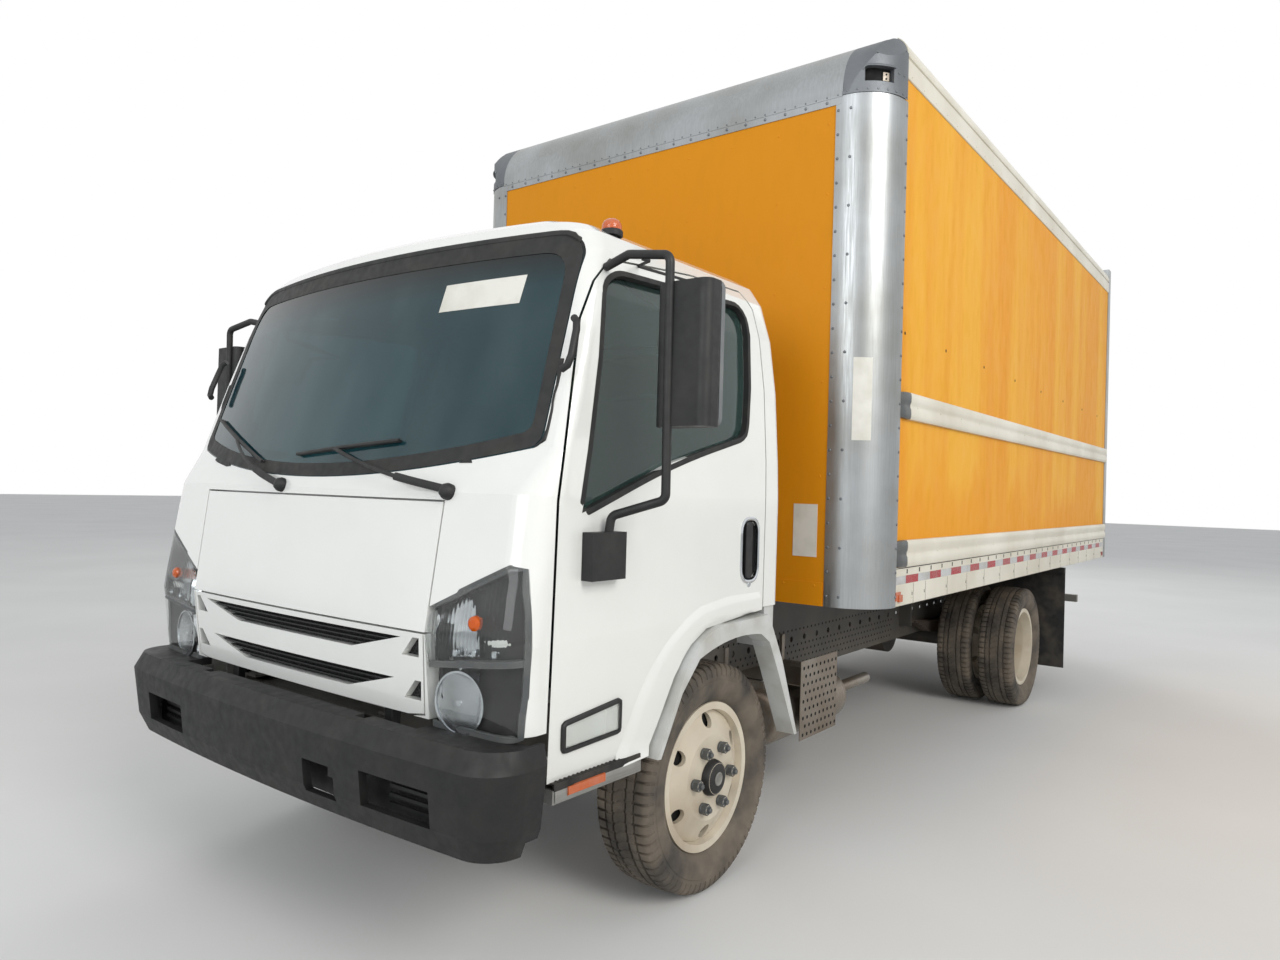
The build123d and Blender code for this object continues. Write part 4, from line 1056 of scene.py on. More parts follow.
@dataclass
class Wheels(SubAssembly):
    """The treaded tyres on their rims, and each wheel's nuts and hub cap."""

    blocks: int = 72
    block_cuts: tuple[float, ...] = (0.0, 0.05, 0.74, 0.79)
    groove: float = 9.0
    stud_circle: float = 111.0
    front_y: float = 833.0
    rear_y: float = 825.0
    twin_half: float = 137.5
    # profiles of the hub caps: radius and distance out
    front_hub: tuple[Pair, ...] = ((65, 933), (61, 950), (57, 958), (48, 962.5), (24, 964))
    rear_hub: tuple[Pair, ...] = ((65, 838), (65, 905), (60, 914), (34, 917), (22, 918))
    # half of the tyre's section from bead to crown: distance out and radius
    section: tuple[tuple[Row, tuple[Pair, ...]], ...] = (
        (Row.WALL, ((77.0, 250.0), (79.0, 267.0), (92.0, 276.0), (100.5, 292.0), (108.0, 309.0))),
        (Row.WALL, ((111.2, 327.0), (112.0, 345.0), (109.8, 347.0), (109.4, 358.0))),
        (Row.EDGE, ((110.8, 360.0), (108.5, 376.0))),
        (Row.LUG, ((105.0, 387.0), (96.0, 397.0), (90.0, 399.2), (64.0, 401.6), (61.5, 400.0))),
        (Row.LOW, ((59.5, 392.5), (53.0, 392.8))),
        (Row.RIB, ((51.0, 402.0), (30.0, 403.9))),
        (Row.LOW, ((28.0, 394.0), (22.0, 394.2))),
        (Row.RIB, ((20.0, 404.3), (0.0, 404.6))),
    )

    def point(self, side: int, kind: Row, out: float, radius: float, sunk: bool, turn: float) -> Triple:
        """Place one vertex of the tyre, cut between its blocks and zigzagged along its grooves.

        Args:
            side: The sign of the half that it lies on.
            kind: The kind of its row.
            out: The row's distance out.
            radius: The row's radius.
            sunk: Whether the vertex lies at the foot of a cut between two blocks.
            turn: The angle round the tyre, in radians.

        Returns:
            The place about the tyre's centre.
        """
        if kind is Row.LUG and sunk:
            radius -= self.groove * (0.7 if radius < 390 else 1.0)
        if kind is Row.EDGE and sunk:
            out -= 3.5
        if kind in (Row.LOW, Row.RIB):
            out += -1.4 if sunk else 2.6
        if kind is Row.RIB and sunk:
            radius -= 1.6
        return (radius * math.sin(turn), side * out, radius * math.cos(turn))

    def tyre_mesh(self) -> bpy.types.Mesh:
        """Build the tyre about its own centre, in metres.

        Returns:
            The mesh data.
        """
        rows = [(kind, out, radius) for kind, group in self.section for out, radius in group]
        across = [(1, 0.0, r) for r in rows] + [(-1, 0.5, r) for r in reversed(rows[:-1])]
        mesh = bmesh.new()
        rings = []
        for block in range(self.blocks):
            for cut in self.block_cuts:
                ring = []
                for side, lag, (kind, out, radius) in across:
                    turn = 2 * math.pi * (block + cut + lag) / self.blocks
                    sunk = cut in (self.block_cuts[0], self.block_cuts[-1])
                    place = self.point(side, kind, out, radius, sunk, turn)
                    ring.append(mesh.verts.new([v / 1000 for v in place]))
                rings.append(ring)
        for a, b in zip(rings, rings[1:] + rings[:1]):
            for j in range(len(a) - 1):
                mesh.faces.new((a[j], a[j + 1], b[j + 1], b[j]))
            mesh.faces.new((a[-1], a[0], b[0], b[-1]))
        bmesh.ops.recalc_face_normals(mesh, faces=mesh.faces)
        data = baked(mesh, "treaded_tyre", 38)
        data.materials.append(self.palette["tyre_rubber"])
        return data

    def hang(self, data: bpy.types.Mesh, name: str, body: str, place: Triple, stands_for: str) -> None:
        """Hang one tyre on its body in place of its CAD node.

        Args:
            data: The tyre's mesh.
            name: The piece's name.
            body: The body that it rides on.
            place: The centre of the tyre.
            stands_for: The CAD node.
        """
        tyre = placed(name, data)
        tyre.location = metres(place)
        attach(tyre, body)
        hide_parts(stands_for)

    def fittings(self, place: str, body: str, x: float, side: Side, face: float, hub: Sequence[Pair]) -> None:
        """Add the nuts with their washers and studs, and the hub cap, of one wheel.

        Args:
            place: The ending of the pieces' names.
            body: The body that they ride on.
            x: The station of the axle.
            side: The side of the truck.
            face: How far out the rim's face stands.
            hub: The cap's profile.
        """
        s, out = side.value, (0, side.value, 0)
        phase = 0 if side is Side.DRIVER else 30
        nuts = self.draft("lamp_dark")
        for k in range(6):
            turn = math.radians(60 * k + phase)
            cx, cz = x + self.stud_circle * math.cos(turn), AXLE_Z + self.stud_circle * math.sin(turn)
            nuts.turned([(19.5, 0), (19.5, 6), (16.5, 9)], (cx, s * (face + 0.4), cz), out, 20)
            nuts.turned([(20.5, 9), (20.5, 28), (17.4, 30.6)], (cx, s * face, cz), out, 6)
            nuts.turned([(9.5, 30), (9.5, 39), (7.5, 41)], (cx, s * face, cz), out, 14)
        nuts.finish(f"nuts_{place}", body, "axle_iron", bevel=0.8)
        cap, tip = self.draft("black_plastic"), self.draft("step_grey")
        cap.turned(hub, (x, 0, AXLE_Z), out, 40)
        cap.finish(f"hub_{place}", body, "black_plastic", bevel=1.0)
        plug = [(r, hub[-1][1] + rise) for r, rise in ((24, -1), (24, 2), (20, 3.5), (17, 1.5), (0, 1.5))]
        tip.turned(plug, (x, 0, AXLE_Z), out, 32)
        tip.finish(f"hub_centre_{place}", body, "bare_aluminium")

    def build(self) -> None:
        """Dress all four wheel positions."""
        data = self.tyre_mesh()
        for side in Side:
            s, word = side.value, side.word
            front, rear = f"front_wheel_{word}", f"rear_wheels_{word}"
            self.hang(data, f"treaded_front_{word}", front, (0, s * self.front_y, AXLE_Z), f"tyre_front_{word}")
            for place, shift in (("inner", -self.twin_half), ("outer", self.twin_half)):
                centre = (REAR_AXLE, s * (self.rear_y + shift), AXLE_Z)
                self.hang(data, f"treaded_{place}_{word}", rear, centre, f"tyres_rear_{word}")
            self.fittings(f"front_{word}", front, 0.0, side, 932.0, self.front_hub)
            self.fittings(f"rear_{word}", rear, REAR_AXLE, side, 837.0, self.rear_hub)
        log.info("wheels: six treaded tyres, nuts and hubs")


@dataclass
class Windscreen(SubAssembly):
    """The screen's rubber, its black border and the blank label at its top corner."""

    low_centre: float = 1434.0
    corner: Pair = (934.0, 1534.0)
    top: Pair = (896.0, 2190.0)
    border: float = 44.0
    top_border: float = 62.0

    def line(self, inset: float, drop: float, radii: Pair, step: float) -> list[Pair]:
        """A line round the screen, seen from ahead.

        Args:
            inset: How far it lies inside the screen's edge at the bottom and the sides.
            drop: The same at the top.
            radii: The radii of its lower and its upper corners.
            step: The distance between its points.

        Returns:
            The points, from the lower corner on the kerb side.
        """
        corners: list[Triple] = []
        for k in range(-8, 9):
            rise = (self.corner[1] - self.low_centre) * (k / 8) ** 2
            low = self.low_centre + rise + inset
            corners.append(((self.corner[0] - inset) * k / 8, low, radii[0] if abs(k) == 8 else 5))
        for s in (1, -1):
            corners.append((s * (self.top[0] - inset), self.top[1] - drop, radii[1]))
        return [(p[0], p[1]) for p in spaced(rounded(corners), step)]

    def build(self) -> None:
        """Lay the seal, the border and the label."""
        skin = Skin("cab_shell", "cab_glass")
        path = self.line(0.0, 0.0, (34, 110), 26)
        seal = self.draft("seal_black")
        spots = levelled([skin.ahead(y, z) for y, z in path], 3)
        seal.band(spots, [(-13, -2), (-12, 3), (-4, 5), (5, 3.4), (9, -2)])
        seal.finish("screen_seal", "cab", "black_plastic")
        fine = self.line(self.border, self.top_border, (30, 90), 4)
        within = [fine[round(len(fine) * k / len(path)) % len(fine)] for k in range(len(path))]
        border = self.draft("seal_black")
        rows = []
        for t in (0.06, 0.5, 1.0):
            row = [skin.ahead(blend(a[0], b[0], t), blend(a[1], b[1], t)) for a, b in zip(path, within)]
            rows.append([place + normal * 1.6 for place, normal in levelled(row, 1)])
        border.sheet(rows, ring=True)
        border.finish("screen_border", "cab", "black_plastic")
        label = self.draft("label_white")
        rows = []
        for y, z in zip(run(410, 724, 6), run(2056, 2062, 6)):
            rows.append([skin.ahead(y, z, 0.9)[0], skin.ahead(y, z - 92, 0.9)[0]])
        label.sheet(rows)
        label.finish("screen_label", "cab", "black_plastic")
        log.info("windscreen: seal, border and a blank label")


@dataclass
class Wipers(SubAssembly):
    """Two arms with their blades, laid on the screen."""

    # pivot, middle of the blade, the blade's two ends: distance across and height
    arms: tuple[tuple[Pair, Pair, Pair, Pair], ...] = (
        ((-136, 1404), (-560, 1560), (-300, 1480), (-830, 1648)),
        ((681, 1401), (130, 1522), (-80, 1505), (420, 1548)),
    )
    sag: float = 16.0
    arm_lift: float = 14.0

    def build(self) -> None:
        """Build both wipers as one piece."""
        skin = Skin("cab_shell", "cab_glass")
        draft = self.draft("black_plastic")
        for pivot, middle, first, last in self.arms:
            draft.turned([(24, -4), (24, 10), (18, 22), (9, 27)], skin.ahead(*pivot)[0], (1, 0, 0.3), 24)
            arm, blade, rubber = [], [], []
            for t in run(0, 1, 8):
                bow = math.sin(math.pi * t)
                y, z = blend(pivot[0], middle[0], t), blend(pivot[1], middle[1], t) - self.sag * bow
                arm.append(skin.ahead(y, z, 18 + self.arm_lift * bow)[0])
            draft.tube(arm[:4], 12.0, 10, 0.5)
            draft.tube(arm[3:], 6.5, 8, 0.7)
            for t in run(0, 1, 14):
                y, z = blend(first[0], last[0], t), blend(first[1], last[1], t)
                blade.append(skin.ahead(y, z, 13 + 3 * math.sin(math.pi * t))[0])
                rubber.append(skin.ahead(y, z, 4.5)[0])
            draft.tube(blade, 6.0, 8, 0.7)
            draft.tube(rubber, 4.2, 6, 1.2)
            for k in (2, 7, 12):
                way = blade[k] - rubber[k]
                draft.turned([(5.0, 0), (5.0, way.length)], rubber[k], way, 8)
        draft.finish("wiper_arms", "cab", "black_plastic", replaces="wipers")
        log.info("wipers: two arms with blades")


@dataclass
class Grille(SubAssembly):
    """The dark mesh behind the grille's openings."""

    # lower edge, upper edge, half widths there
    openings: tuple[tuple[float, float, float, float], ...] = ((930, 985, 330, 560), (806, 862, 300, 520))
    depth: float = 24.0
    # the cab's front at some heights: height, station at the middle, bow, half width
    rings: tuple[tuple[float, float, float, float], ...] = (
        (620, 1050, 30, 988), (1000, 1094, 38, 1006), (1400, 1052, 60, 1007), (1534, 1013, 112, 1004),
    )

    def sunk(self, y: float, z: float) -> Triple:
        """A point behind the cab's front by the mesh's depth.

        Args:
            y: The distance across.
            z: The height.

        Returns:
            The point.
        """
        a, b = next((a, b) for a, b in zip(self.rings, self.rings[1:]) if z <= b[0])
        middle, bow, half = (blend(a[i], b[i], (z - a[0]) / (b[0] - a[0])) for i in (1, 2, 3))
        return (middle - bow * (y / half) ** 2 - self.depth, y, z)

    def build(self) -> None:
        """Hang a mesh sheet behind each opening, and one behind each small opening beside it."""
        draft = self.draft("mesh_black")
        for low, high, low_half, high_half in self.openings:
            rows = []
            for z, half in zip(run(low - 6, high + 6, 3), run(low_half, high_half, 3)):
                rows.append([self.sunk((half + 16) * j / 10, z) for j in range(-10, 11)])
            draft.sheet(rows)
            for s in (1, -1):
                draft.sheet([[self.sunk(s * y, z) for y in (548, 600, 642)] for z in (low, high + 8)])
        draft.finish("grille_backing", "cab", "black_plastic")
        log.info("grille: mesh behind its openings")


@dataclass
class Edge:
    """A line across a headlamp: two heights of the lamp with a share between them, and a shift."""

    low: str
    high: str = ""
    share: float = 0.0
    low_shift: float = 0.0
    high_shift: float = 0.0

    def height(self, y: float) -> float:
        """The height of the line at a distance across."""
        low = self.at(self.low, y) + self.low_shift
        return blend(low, self.at(self.high, y) + self.high_shift, self.share) if self.high else low

    def at(self, name: str, y: float) -> float:
        """The height of the lamp's base, of its split or of its top at a distance across.

        Args:
            name: The line that is wanted: base, split or top.
            y: The distance across.

        Returns:
            The height.
        """
        if name == "base":
            return max(blend(720, 757, (y - 643) / 325), 754.0)
        if name == "split":
            return blend(920, 958, (y - 660) / 327)
        return blend(1076, 1209, (y - 660) / 285) if y < 945 else blend(1209, 1197, (y - 945) / 65)


@dataclass
class Headlamp(SubAssembly):
    """One corner lamp: bezel, ribbed signal above, round reflector below, clear cover over both."""

    side: Side
    inner_y: float = 662.0
    rear_x: float = 1002.0
    runs: int = 18
    pace: float = 400 / 18
    bowl: Triple = (1036, 775, 826)
    heart: Pair = (880.0, 780.0)
    # small cups under the split: station, distance across, height
    cups: tuple[Triple, ...] = ((1050, 703, 955), (1047, 758, 960), (1043, 826, 966), (1037, 903, 973))

    def row(self, skin: Skin, edge: Edge, proud: float) -> list[Vector]:
        """Points across the lamp on the skin, from its inner edge round the corner to its rear edge.

        Args:
            skin: The surface to lie on.
            edge: The line that gives their heights.
            proud: How far out of the skin, negative where sunk.

        Returns:
            The points, mirrored to this lamp's side.
        """
        s = self.side.value
        raw: list[Vector] = []
        y = 700.0
        for degrees in run(-50, 78, 60):
            turn = math.radians(degrees)
            aim = Vector((math.cos(turn), math.sin(turn), 0))
            start = Vector((900, 800, 0)) + aim * 500
            hit = None
            for _ in range(2):
                start.z = edge.height(min(max(y, 660), 1010))
                hit = skin.meet((start.x, s * start.y, start.z), (-aim.x, -s * aim.y, 0))
                if hit:
                    y = abs(hit[0].y)
            if hit:
                raw.append(hit[0] + hit[1] * proud)
        kept = [p for p in raw if abs(p.y) >= self.inner_y and p.x >= self.rear_x]
        return [Vector(p) for p in spaced(kept, self.pace, closed=False)]

    def panel(self, skin: Skin, band: Edge, proud: float, rows: int = 8) -> list[list[Vector]]:
        """A grid of points over a band of the lamp, with one number of points a row.

        Args:
            skin: The surface to lie on.
            band: The band, by its two lines.
            proud: How far out of the skin, negative where sunk.
            rows: How many runs of rows.

        Returns:
            The rows, from the lower one.
        """
        made = []
        for t in run(0, 1, rows):
            edge = Edge(band.low, band.high, t, band.low_shift, band.high_shift)
            made.append(self.even(self.row(skin, edge, proud)))
        return made

    def even(self, line: Sequence[Vector]) -> list[Vector]:
        """The same line with the lamp's own number of runs.

        Args:
            line: The points.

        Returns:
            Points at equal distances along them.
        """
        lengths = [0.0]
        for a, b in zip(line, line[1:]):
            lengths.append(lengths[-1] + (b - a).length)
        result = []
        for k in range(self.runs + 1):
            goal = lengths[-1] * k / self.runs
            i = min(max(j for j in range(len(lengths)) if lengths[j] <= goal + 1e-6), len(lengths) - 2)
            share = (goal - lengths[i]) / max(lengths[i + 1] - lengths[i], 1e-6)
            result.append(line[i].lerp(line[i + 1], share))
        return result

    def outward(self, line: Sequence[Vector]) -> list[Spot]:
        """The points of a line, each with the level direction away from the lamp's heart."""
        x, y = self.heart[0], self.side.value * self.heart[1]
        return [(p, Vector((p.x - x, p.y - y, 0)).normalized()) for p in line]

    def build(self) -> None:
        """Build the lamp's bowl, its frame, its insides and its cover."""
        s, word = self.side.value, self.side.word
        skin = Skin("headlamps")
        whole = Edge("base", "top")
        back, face = self.panel(skin, whole, -56), self.panel(skin, whole, -4)
        bowl = self.draft("bumper_black")
        bowl.sheet(back)
        for pick in (0, -1):
            bowl.sheet([back[pick], face[pick]])
        for pick in (0, -1):
            bowl.sheet([[r[pick] for r in back], [r[pick] for r in face]])
        bowl.finish(f"lamp_bowl_{word}", "cab", "black_plastic")
        rim = [*face[0], *[r[-1] for r in face[1:-1]], *reversed(face[-1]), *[r[0] for r in reversed(face[1:-1])]]
        bezel = self.draft("lamp_dark")
        bezel.band(self.outward(rim), [(-9, -6), (-9, 3.4), (0, 4.2), (9, 3.4), (9, -6)])
        bar = self.outward(self.row(skin, Edge("split"), -3))
        bezel.band(bar, [(-10, -24), (-9, 0), (9, 0), (10, -24)], closed=False)
        bezel.finish(f"lamp_frame_{word}", "cab", "black_plastic")
        bright, cap = self.draft("chrome"), self.draft("chrome")
        upper = self.panel(skin, Edge("split", "top", low_shift=14, high_shift=-14), -40, 6)
        bright.sheet([row[1:13] for row in upper])
        centre, aim = (self.bowl[0], s * self.bowl[1], self.bowl[2]), (1, s * 0.12, 0)
        bright.turned([(84, 8), (80, 3), (66, -10), (44, -22), (16, -26)], centre, aim, 40)
        bright.turned([(88, 9), (88, 12), (82, 12), (82, 9)], centre, aim, 40)
        lower = self.panel(skin, Edge("base", "split", low_shift=12, high_shift=-14), -44, 6)
        bright.sheet([row[1:13] for row in lower])
        bright.finish(f"lamp_reflectors_{word}", "cab", "bare_aluminium")
        bulb = self.draft("lamp_amber")
        bulb.turned([(2, 0), (17, 8), (22, 22), (20, 34), (11, 42)], (1030, s * 838, 1052), (1, s * 0.2, 0), 20)
        bulb.finish(f"lamp_bulb_{word}", "cab", "lamp_amber")
        cap.turned([(14, -24), (14, 4), (9, 10)], centre, aim, 20)
        for x, y, z in self.cups:
            cap.turned([(11, -8), (11, 2), (8, 4), (7, 1)], (x, s * y, z), (1, s * 0.2, 0), 18)
        cap.finish(f"lamp_cap_{word}", "cab", "bare_aluminium")
        cover = self.draft("lens_clear", "lens_ribbed")
        cover.sheet(self.panel(skin, Edge("base", "split", low_shift=2, high_shift=-6), 0))
        cover.use("lens_ribbed")
        cover.sheet(self.panel(skin, Edge("split", "top", low_shift=6, high_shift=-2), 0))
        cover.finish(f"lamp_cover_{word}", "cab", "lamp_lens", replaces="headlamps")
        log.info("headlamp %s: bowl, frame, reflectors, bulb and cover", word)


@dataclass
class DoorTrim(SubAssembly):
    """What a door carries: window seals, handle, side lamp and the crease over the arch."""

    side: Side
    # outlines seen from the side: station, height and, where rounded, the radius
    window: tuple[Triple, ...] = (
        (824, 1352, 30), (689, 2026, 40), (613, 2072, 40), (-95, 2104, 40), (-135, 2070, 30), (-70, 1624, 50),
        (386, 1513, 260),
    )
    crease: tuple[Pair, ...] = (
        (639, 598), (536, 786), (470, 880), (387, 949), (300, 1003), (220, 1038), (32, 1060), (-179, 1058),
    )
    arch: tuple[Pair, ...] = (
        (482, 604), (419, 706), (385, 768), (349, 832), (312, 876), (273, 914), (174, 962), (-179, 992),
    )
    recess: tuple[Triple, ...] = ((-157, 1104, 50), (-45, 1104, 50), (-45, 1326, 50), (-157, 1326, 50))
    grip: tuple[Triple, ...] = ((-122, 1112, 14), (-80, 1112, 14), (-80, 1318, 14), (-122, 1318, 14))
    lamp: tuple[Triple, ...] = ((608, 700, 16), (868, 691, 16), (873, 780, 16), (614, 807, 16))
    panel_y: float = 1006.0

    @property
    def body(self) -> str:
        """The body that the trim rides on."""
        return f"{self.side.word}_door"

    def seals(self, skin: Skin) -> None:
        """Lay the rubber round the window.

        Args:
            skin: The surface of the door and of the cab round it.
        """
        path = spaced(rounded(self.window), 22)
        draft = self.draft("seal_black")
        spots = [skin.beside(self.side, x, z) for x, z in drawn_in(path, -6)]
        draft.band(spots, [(-9, -20), (-9, 1.6), (0, 3.2), (9, 1.2), (9, -20)])
        draft.finish(f"window_seal_{self.side.word}", self.body, "black_plastic")

    def crease_form(self, skin: Skin) -> None:
        """Swell the panel between the crease and the arch's edge.

        Args:
            skin: The surface of the door and of the cab round it.
        """
        s, count = self.side.value, 26
        upper, lower = (spaced(path, 1.0, closed=False) for path in (self.crease, self.arch))
        draft = self.draft("cab_white")
        rows = []
        for k in range(count + 1):
            a, b = (line[round((len(line) - 1) * k / count)] for line in (upper, lower))
            row = []
            for t in run(0, 1, 8):
                place, _ = skin.beside(self.side, blend(a[0], b[0], t), blend(a[1], b[1], t))
                lift = 0.2 + 8.0 * ease(t / 0.3)
                row.append((place.x, s * min(abs(place.y) + lift, 1018.0), place.z))
            row.append((row[-1][0], row[-1][1] - s * 12, row[-1][2]))
            rows.append(row)
        draft.sheet(rows)
        draft.finish(f"arch_crease_{self.side.word}", self.body, "cab_white", angle=60)

    def handle(self) -> None:
        """Set the upright handle in its recess."""
        s, word, out = self.side.value, self.side.word, (0, self.side.value, 0)
        edge = spaced(rounded(self.recess, 8), 14)
        rim = self.draft("chrome")
        spots = [(Vector((x, s * (self.panel_y + 0.5), z)), Vector(out)) for x, z in drawn_in(edge, -3)]
        rim.band(spots, [(-7, -8), (-6, 3), (0, 5), (6, 3), (7, -8)])
        rim.finish(f"handle_rim_{word}", self.body, "bare_aluminium")
        bowl = self.draft("black_plastic")
        ring = drawn_in(edge, 0.5)
        rows = []
        for inset, deep in ((0.0, 0.0), (2.0, 14.0), (10.0, 26.0), (30.0, 27.5)):
            rows.append([(x, s * (self.panel_y - deep), z) for x, z in drawn_in(ring, inset)])
        bowl.face(bowl.sheet(rows, ring=True)[-1])
        bowl.finish(f"handle_bowl_{word}", self.body, "black_plastic")
        grip = self.draft("black_plastic")
        grip.prism(rounded(self.grip, 4), Plane.SIDE, s * (self.panel_y - 16), s * (self.panel_y + 2))
        grip.finish(f"handle_grip_{word}", self.body, "black_plastic", bevel=5)
        lock = self.draft("chrome")
        lock.turned([(11, 0), (11, 5), (9, 7)], (-101, s * (self.panel_y - 3), 1092), out, 20)
        lock.finish(f"handle_lock_{word}", self.body, "bare_aluminium")

    def side_lamp(self, skin: Skin) -> None:
        """Set the side lamp low on the door.

        Args:
            skin: The surface of the door and of the cab round it.
        """
        word = self.side.word
        edge = spaced(rounded(self.lamp, 4), 14)
        draft = self.draft("black_plastic")
        rows = []
        for inset, proud in ((-1.0, -2.0), (0.0, 7.0), (4.0, 10.0), (12.0, 10.0), (14.0, 5.0)):
            rows.append([skin.beside(self.side, x, z, proud)[0] for x, z in drawn_in(edge, inset)])
        draft.sheet(rows, ring=True)
        draft.finish(f"side_lamp_frame_{word}", self.body, "black_plastic")
        lens = self.draft("lens_ribbed")
        for rear, front in ((692, 858), (620, 688)):
            rows = []
            for x in run(rear, front, 8):
                low, high = blend(712, 705, (x - 608) / 265), blend(793, 768, (x - 608) / 265)
                section = ((low, 4), (low + 6, 9), (high - 6, 9), (high, 4))
                rows.extend(skin.strip(self.side, [x], section))
            lens.sheet(rows)
        lens.finish(f"side_lamp_lens_{word}", self.body, "lamp_lens")

    def build(self) -> None:
        """Dress the door."""
        skin = Skin(f"door_{self.side.word}", "cab_shell")
        self.seals(skin)
        self.crease_form(skin)
        self.handle()
        self.side_lamp(skin)
        log.info("door %s: seal, crease, handle and lamp", self.side.word)


@dataclass
class VanBody(SubAssembly):
    """The load body's skin: walls, roof, header, corner posts and castings, with its rails and tape."""

    front: float = -749.0
    seam: float = -952.0
    rear: float = -5678.0
    floor: float = 951.0
    half: float = 1219.0
    wall: float = 1213.0
    post_centre: float = 1019.0
    post_radius: float = 203.0
    post_top: float = 3107.0
    header_low: float = 3120.0
    header_radius: float = 280.0
    edge_radius: float = 90.0
    cast_radius: float = 206.0
    facet_turn: float = math.radians(51)
    facet_low: float = 3264.0
    facet_slope: float = 1.6
    recess_depth: float = 28.0
    bolt_pitch: float = 305.0
    hole_row: tuple[float, ...] = (-1020, -1557, -2176, -2799, -3433, -4074, -4728, -5328)
    hole_row_z: float = 2128.0
    # the rub rail's section: distance across and height above its lower edge
    ridges: tuple[Pair, ...] = (
        (1212, 0), (1230, 1), (1234.5, 9), (1235, 22), (1234, 42), (1229.5, 52), (1229.5, 64), (1234, 74),
        (1235, 94), (1234, 108), (1229, 116), (1212, 117),
    )
    cast_turns: tuple[float, ...] = (
        0, 4, 8, 12, 16, 20, 23, 26, 26.4, 30, 34, 38, 42, 46, 50, 54, 58, 61.6, 62, 66, 70, 75, 80, 85, 90,
    )
    cast_rings: tuple[float, ...] = (206, 203, 196, 186, 176, 164, 150, 135, 120, 100, 80, 60, 40, 20, 0.5)

    @property
    def top(self) -> float:
        """The height of the roof."""
        return self.header_low + self.header_radius

    def header_z(self, x: float) -> float:
        """The height of the rounded header at a station."""
        past = max(x - (self.front - self.header_radius), 0.0)
        return self.header_low + math.sqrt(max(self.header_radius**2 - past**2, 0.0))

    def edge_z(self, y: float) -> float:
        """The height of the rounded roof edge at a distance across."""
        past = max(abs(y) - (self.half - self.edge_radius), 0.0)
        return self.top - self.edge_radius + math.sqrt(max(self.edge_radius**2 - past**2, 0.0))

    def cast_z(self, radius: float, degrees: float) -> float:
        """The height of a corner casting, cut off by one sloping flat.

        Args:
            radius: The distance from the corner's axis.
            degrees: The angle from straight ahead.

        Returns:
            The height of its top surface.
        """
        turn = math.radians(degrees)
        x = self.seam + radius * math.cos(turn)
        y = self.post_centre + radius * math.sin(turn)
        reach = radius * math.cos(turn - self.facet_turn)
        flat = self.facet_low + self.facet_slope * (self.cast_radius - reach)
        return min(self.header_z(x), self.edge_z(y), flat)

    def around(self, side: Side, radius: float, degrees: float, z: float) -> Vector:
        """A point round a front corner's axis.

        Args:
            side: The side of the truck.
            radius: The distance from the axis.
            degrees: The angle from straight ahead.
            z: The height.

        Returns:
            The point.
        """
        turn = math.radians(degrees)
        across = self.post_centre + radius * math.sin(turn)
        return Vector((self.seam + radius * math.cos(turn), side.value * across, z))

    def outward(self, side: Side, degrees: float) -> Vector:
        """The direction away from a front corner's axis."""
        turn = math.radians(degrees)
        return Vector((math.cos(turn), side.value * math.sin(turn), 0))

    def length(self, draft: Draft, side: Side, section: Sequence[Pair], start: float) -> None:
        """Run a section of distances across and heights along one side, from a station to the rear."""
        draft.prism([(side.value * y, z) for y, z in section], Plane.FRONT, start, self.rear)

    def walls(self) -> None:
        """Stand the two side walls, each with the small holes of the old lettering rail, drawn as dark discs of
        painted shade.
        """
        draft = self.draft("body_yellow", "hole_black")
        for side in Side:
            s = side.value
            draft.use("body_yellow")
            inner = self.wall - 35
            section = [(inner, self.floor), (self.wall, self.floor), (self.wall, 3306), (inner, 3306)]
            self.length(draft, side, section, self.seam - 6)
            # The holes are dark discs: painted shade in each hole.
            draft.use("hole_black")
            for x in self.hole_row:
                draft.turned([(8, -2), (8, 0.7)], (x, s * self.wall, self.hole_row_z), (0, s, 0), 14)
        draft.finish("van_walls", "chassis", "body_yellow", bevel=1.0, replaces="box_side_walls")

    def roof(self) -> None:
        """Lay the roof skin over its rounded edges, and down to the header."""
        flat = self.half - self.edge_radius
        edges = [flat + self.edge_radius * math.sin(math.radians(a)) for a in range(0, 91, 10)]
        across = [-y for y in reversed(edges)] + [-600.0, 0.0, 600.0] + edges
        rows = []
        for x in [self.seam - 20 * k for k in range(5)] + run(self.seam - 80, self.rear, 8)[1:]:
            upper = [(x, y, min(self.header_z(x), self.edge_z(y))) for y in across]
            rows.append(upper + [(x, y * 0.995, z - 5) for _, y, z in reversed(upper)])
        draft = self.draft("bare_aluminium")
        draft.shell(rows)
        draft.finish("van_roof", "chassis", "bare_aluminium", angle=30, replaces="box_roof")

    def post(self, side: Side, draft: Draft) -> None:
        """Raise one rounded corner post, with its rivets.

        Args:
            side: The side of the truck.
            draft: The nose's draft.
        """
        s, thick, flange, lap = side.value, 4, 992, 14
        arcs = []
        for radius in (self.post_radius, self.post_radius - thick):
            turned = [self.around(Side.DRIVER, radius, a, 0) for a in range(0, 91, 6)]
            arcs.append([(p.x, p.y) for p in turned])
        outer, inner = arcs
        plan = [(self.front, flange), *outer, (self.seam - lap, outer[-1][1])]
        plan += [(self.seam - lap, inner[-1][1]), *reversed(inner), (self.front - thick, flange)]
        draft.use("bare_aluminium")
        draft.prism([(x, s * y) for x, y in plan], Plane.PLAN, self.floor, self.post_top)
        # The rivet heads are aluminium but take the darker casting grey: painted shade round each head.
        draft.use("cast_grey")
        head = (6.5, 3.2)
        for k in range(21):
            z = self.floor + 45 + 102.5 * k
            draft.rivet((self.front, s * 1003, z), AHEAD, *head)
            draft.rivet((self.seam - 5, s * (self.post_centre + self.post_radius), z), (0, s, 0), *head)
            if k % 2 == 0:
                draft.rivet(self.around(side, self.post_radius, 11, z), self.outward(side, 11), *head)

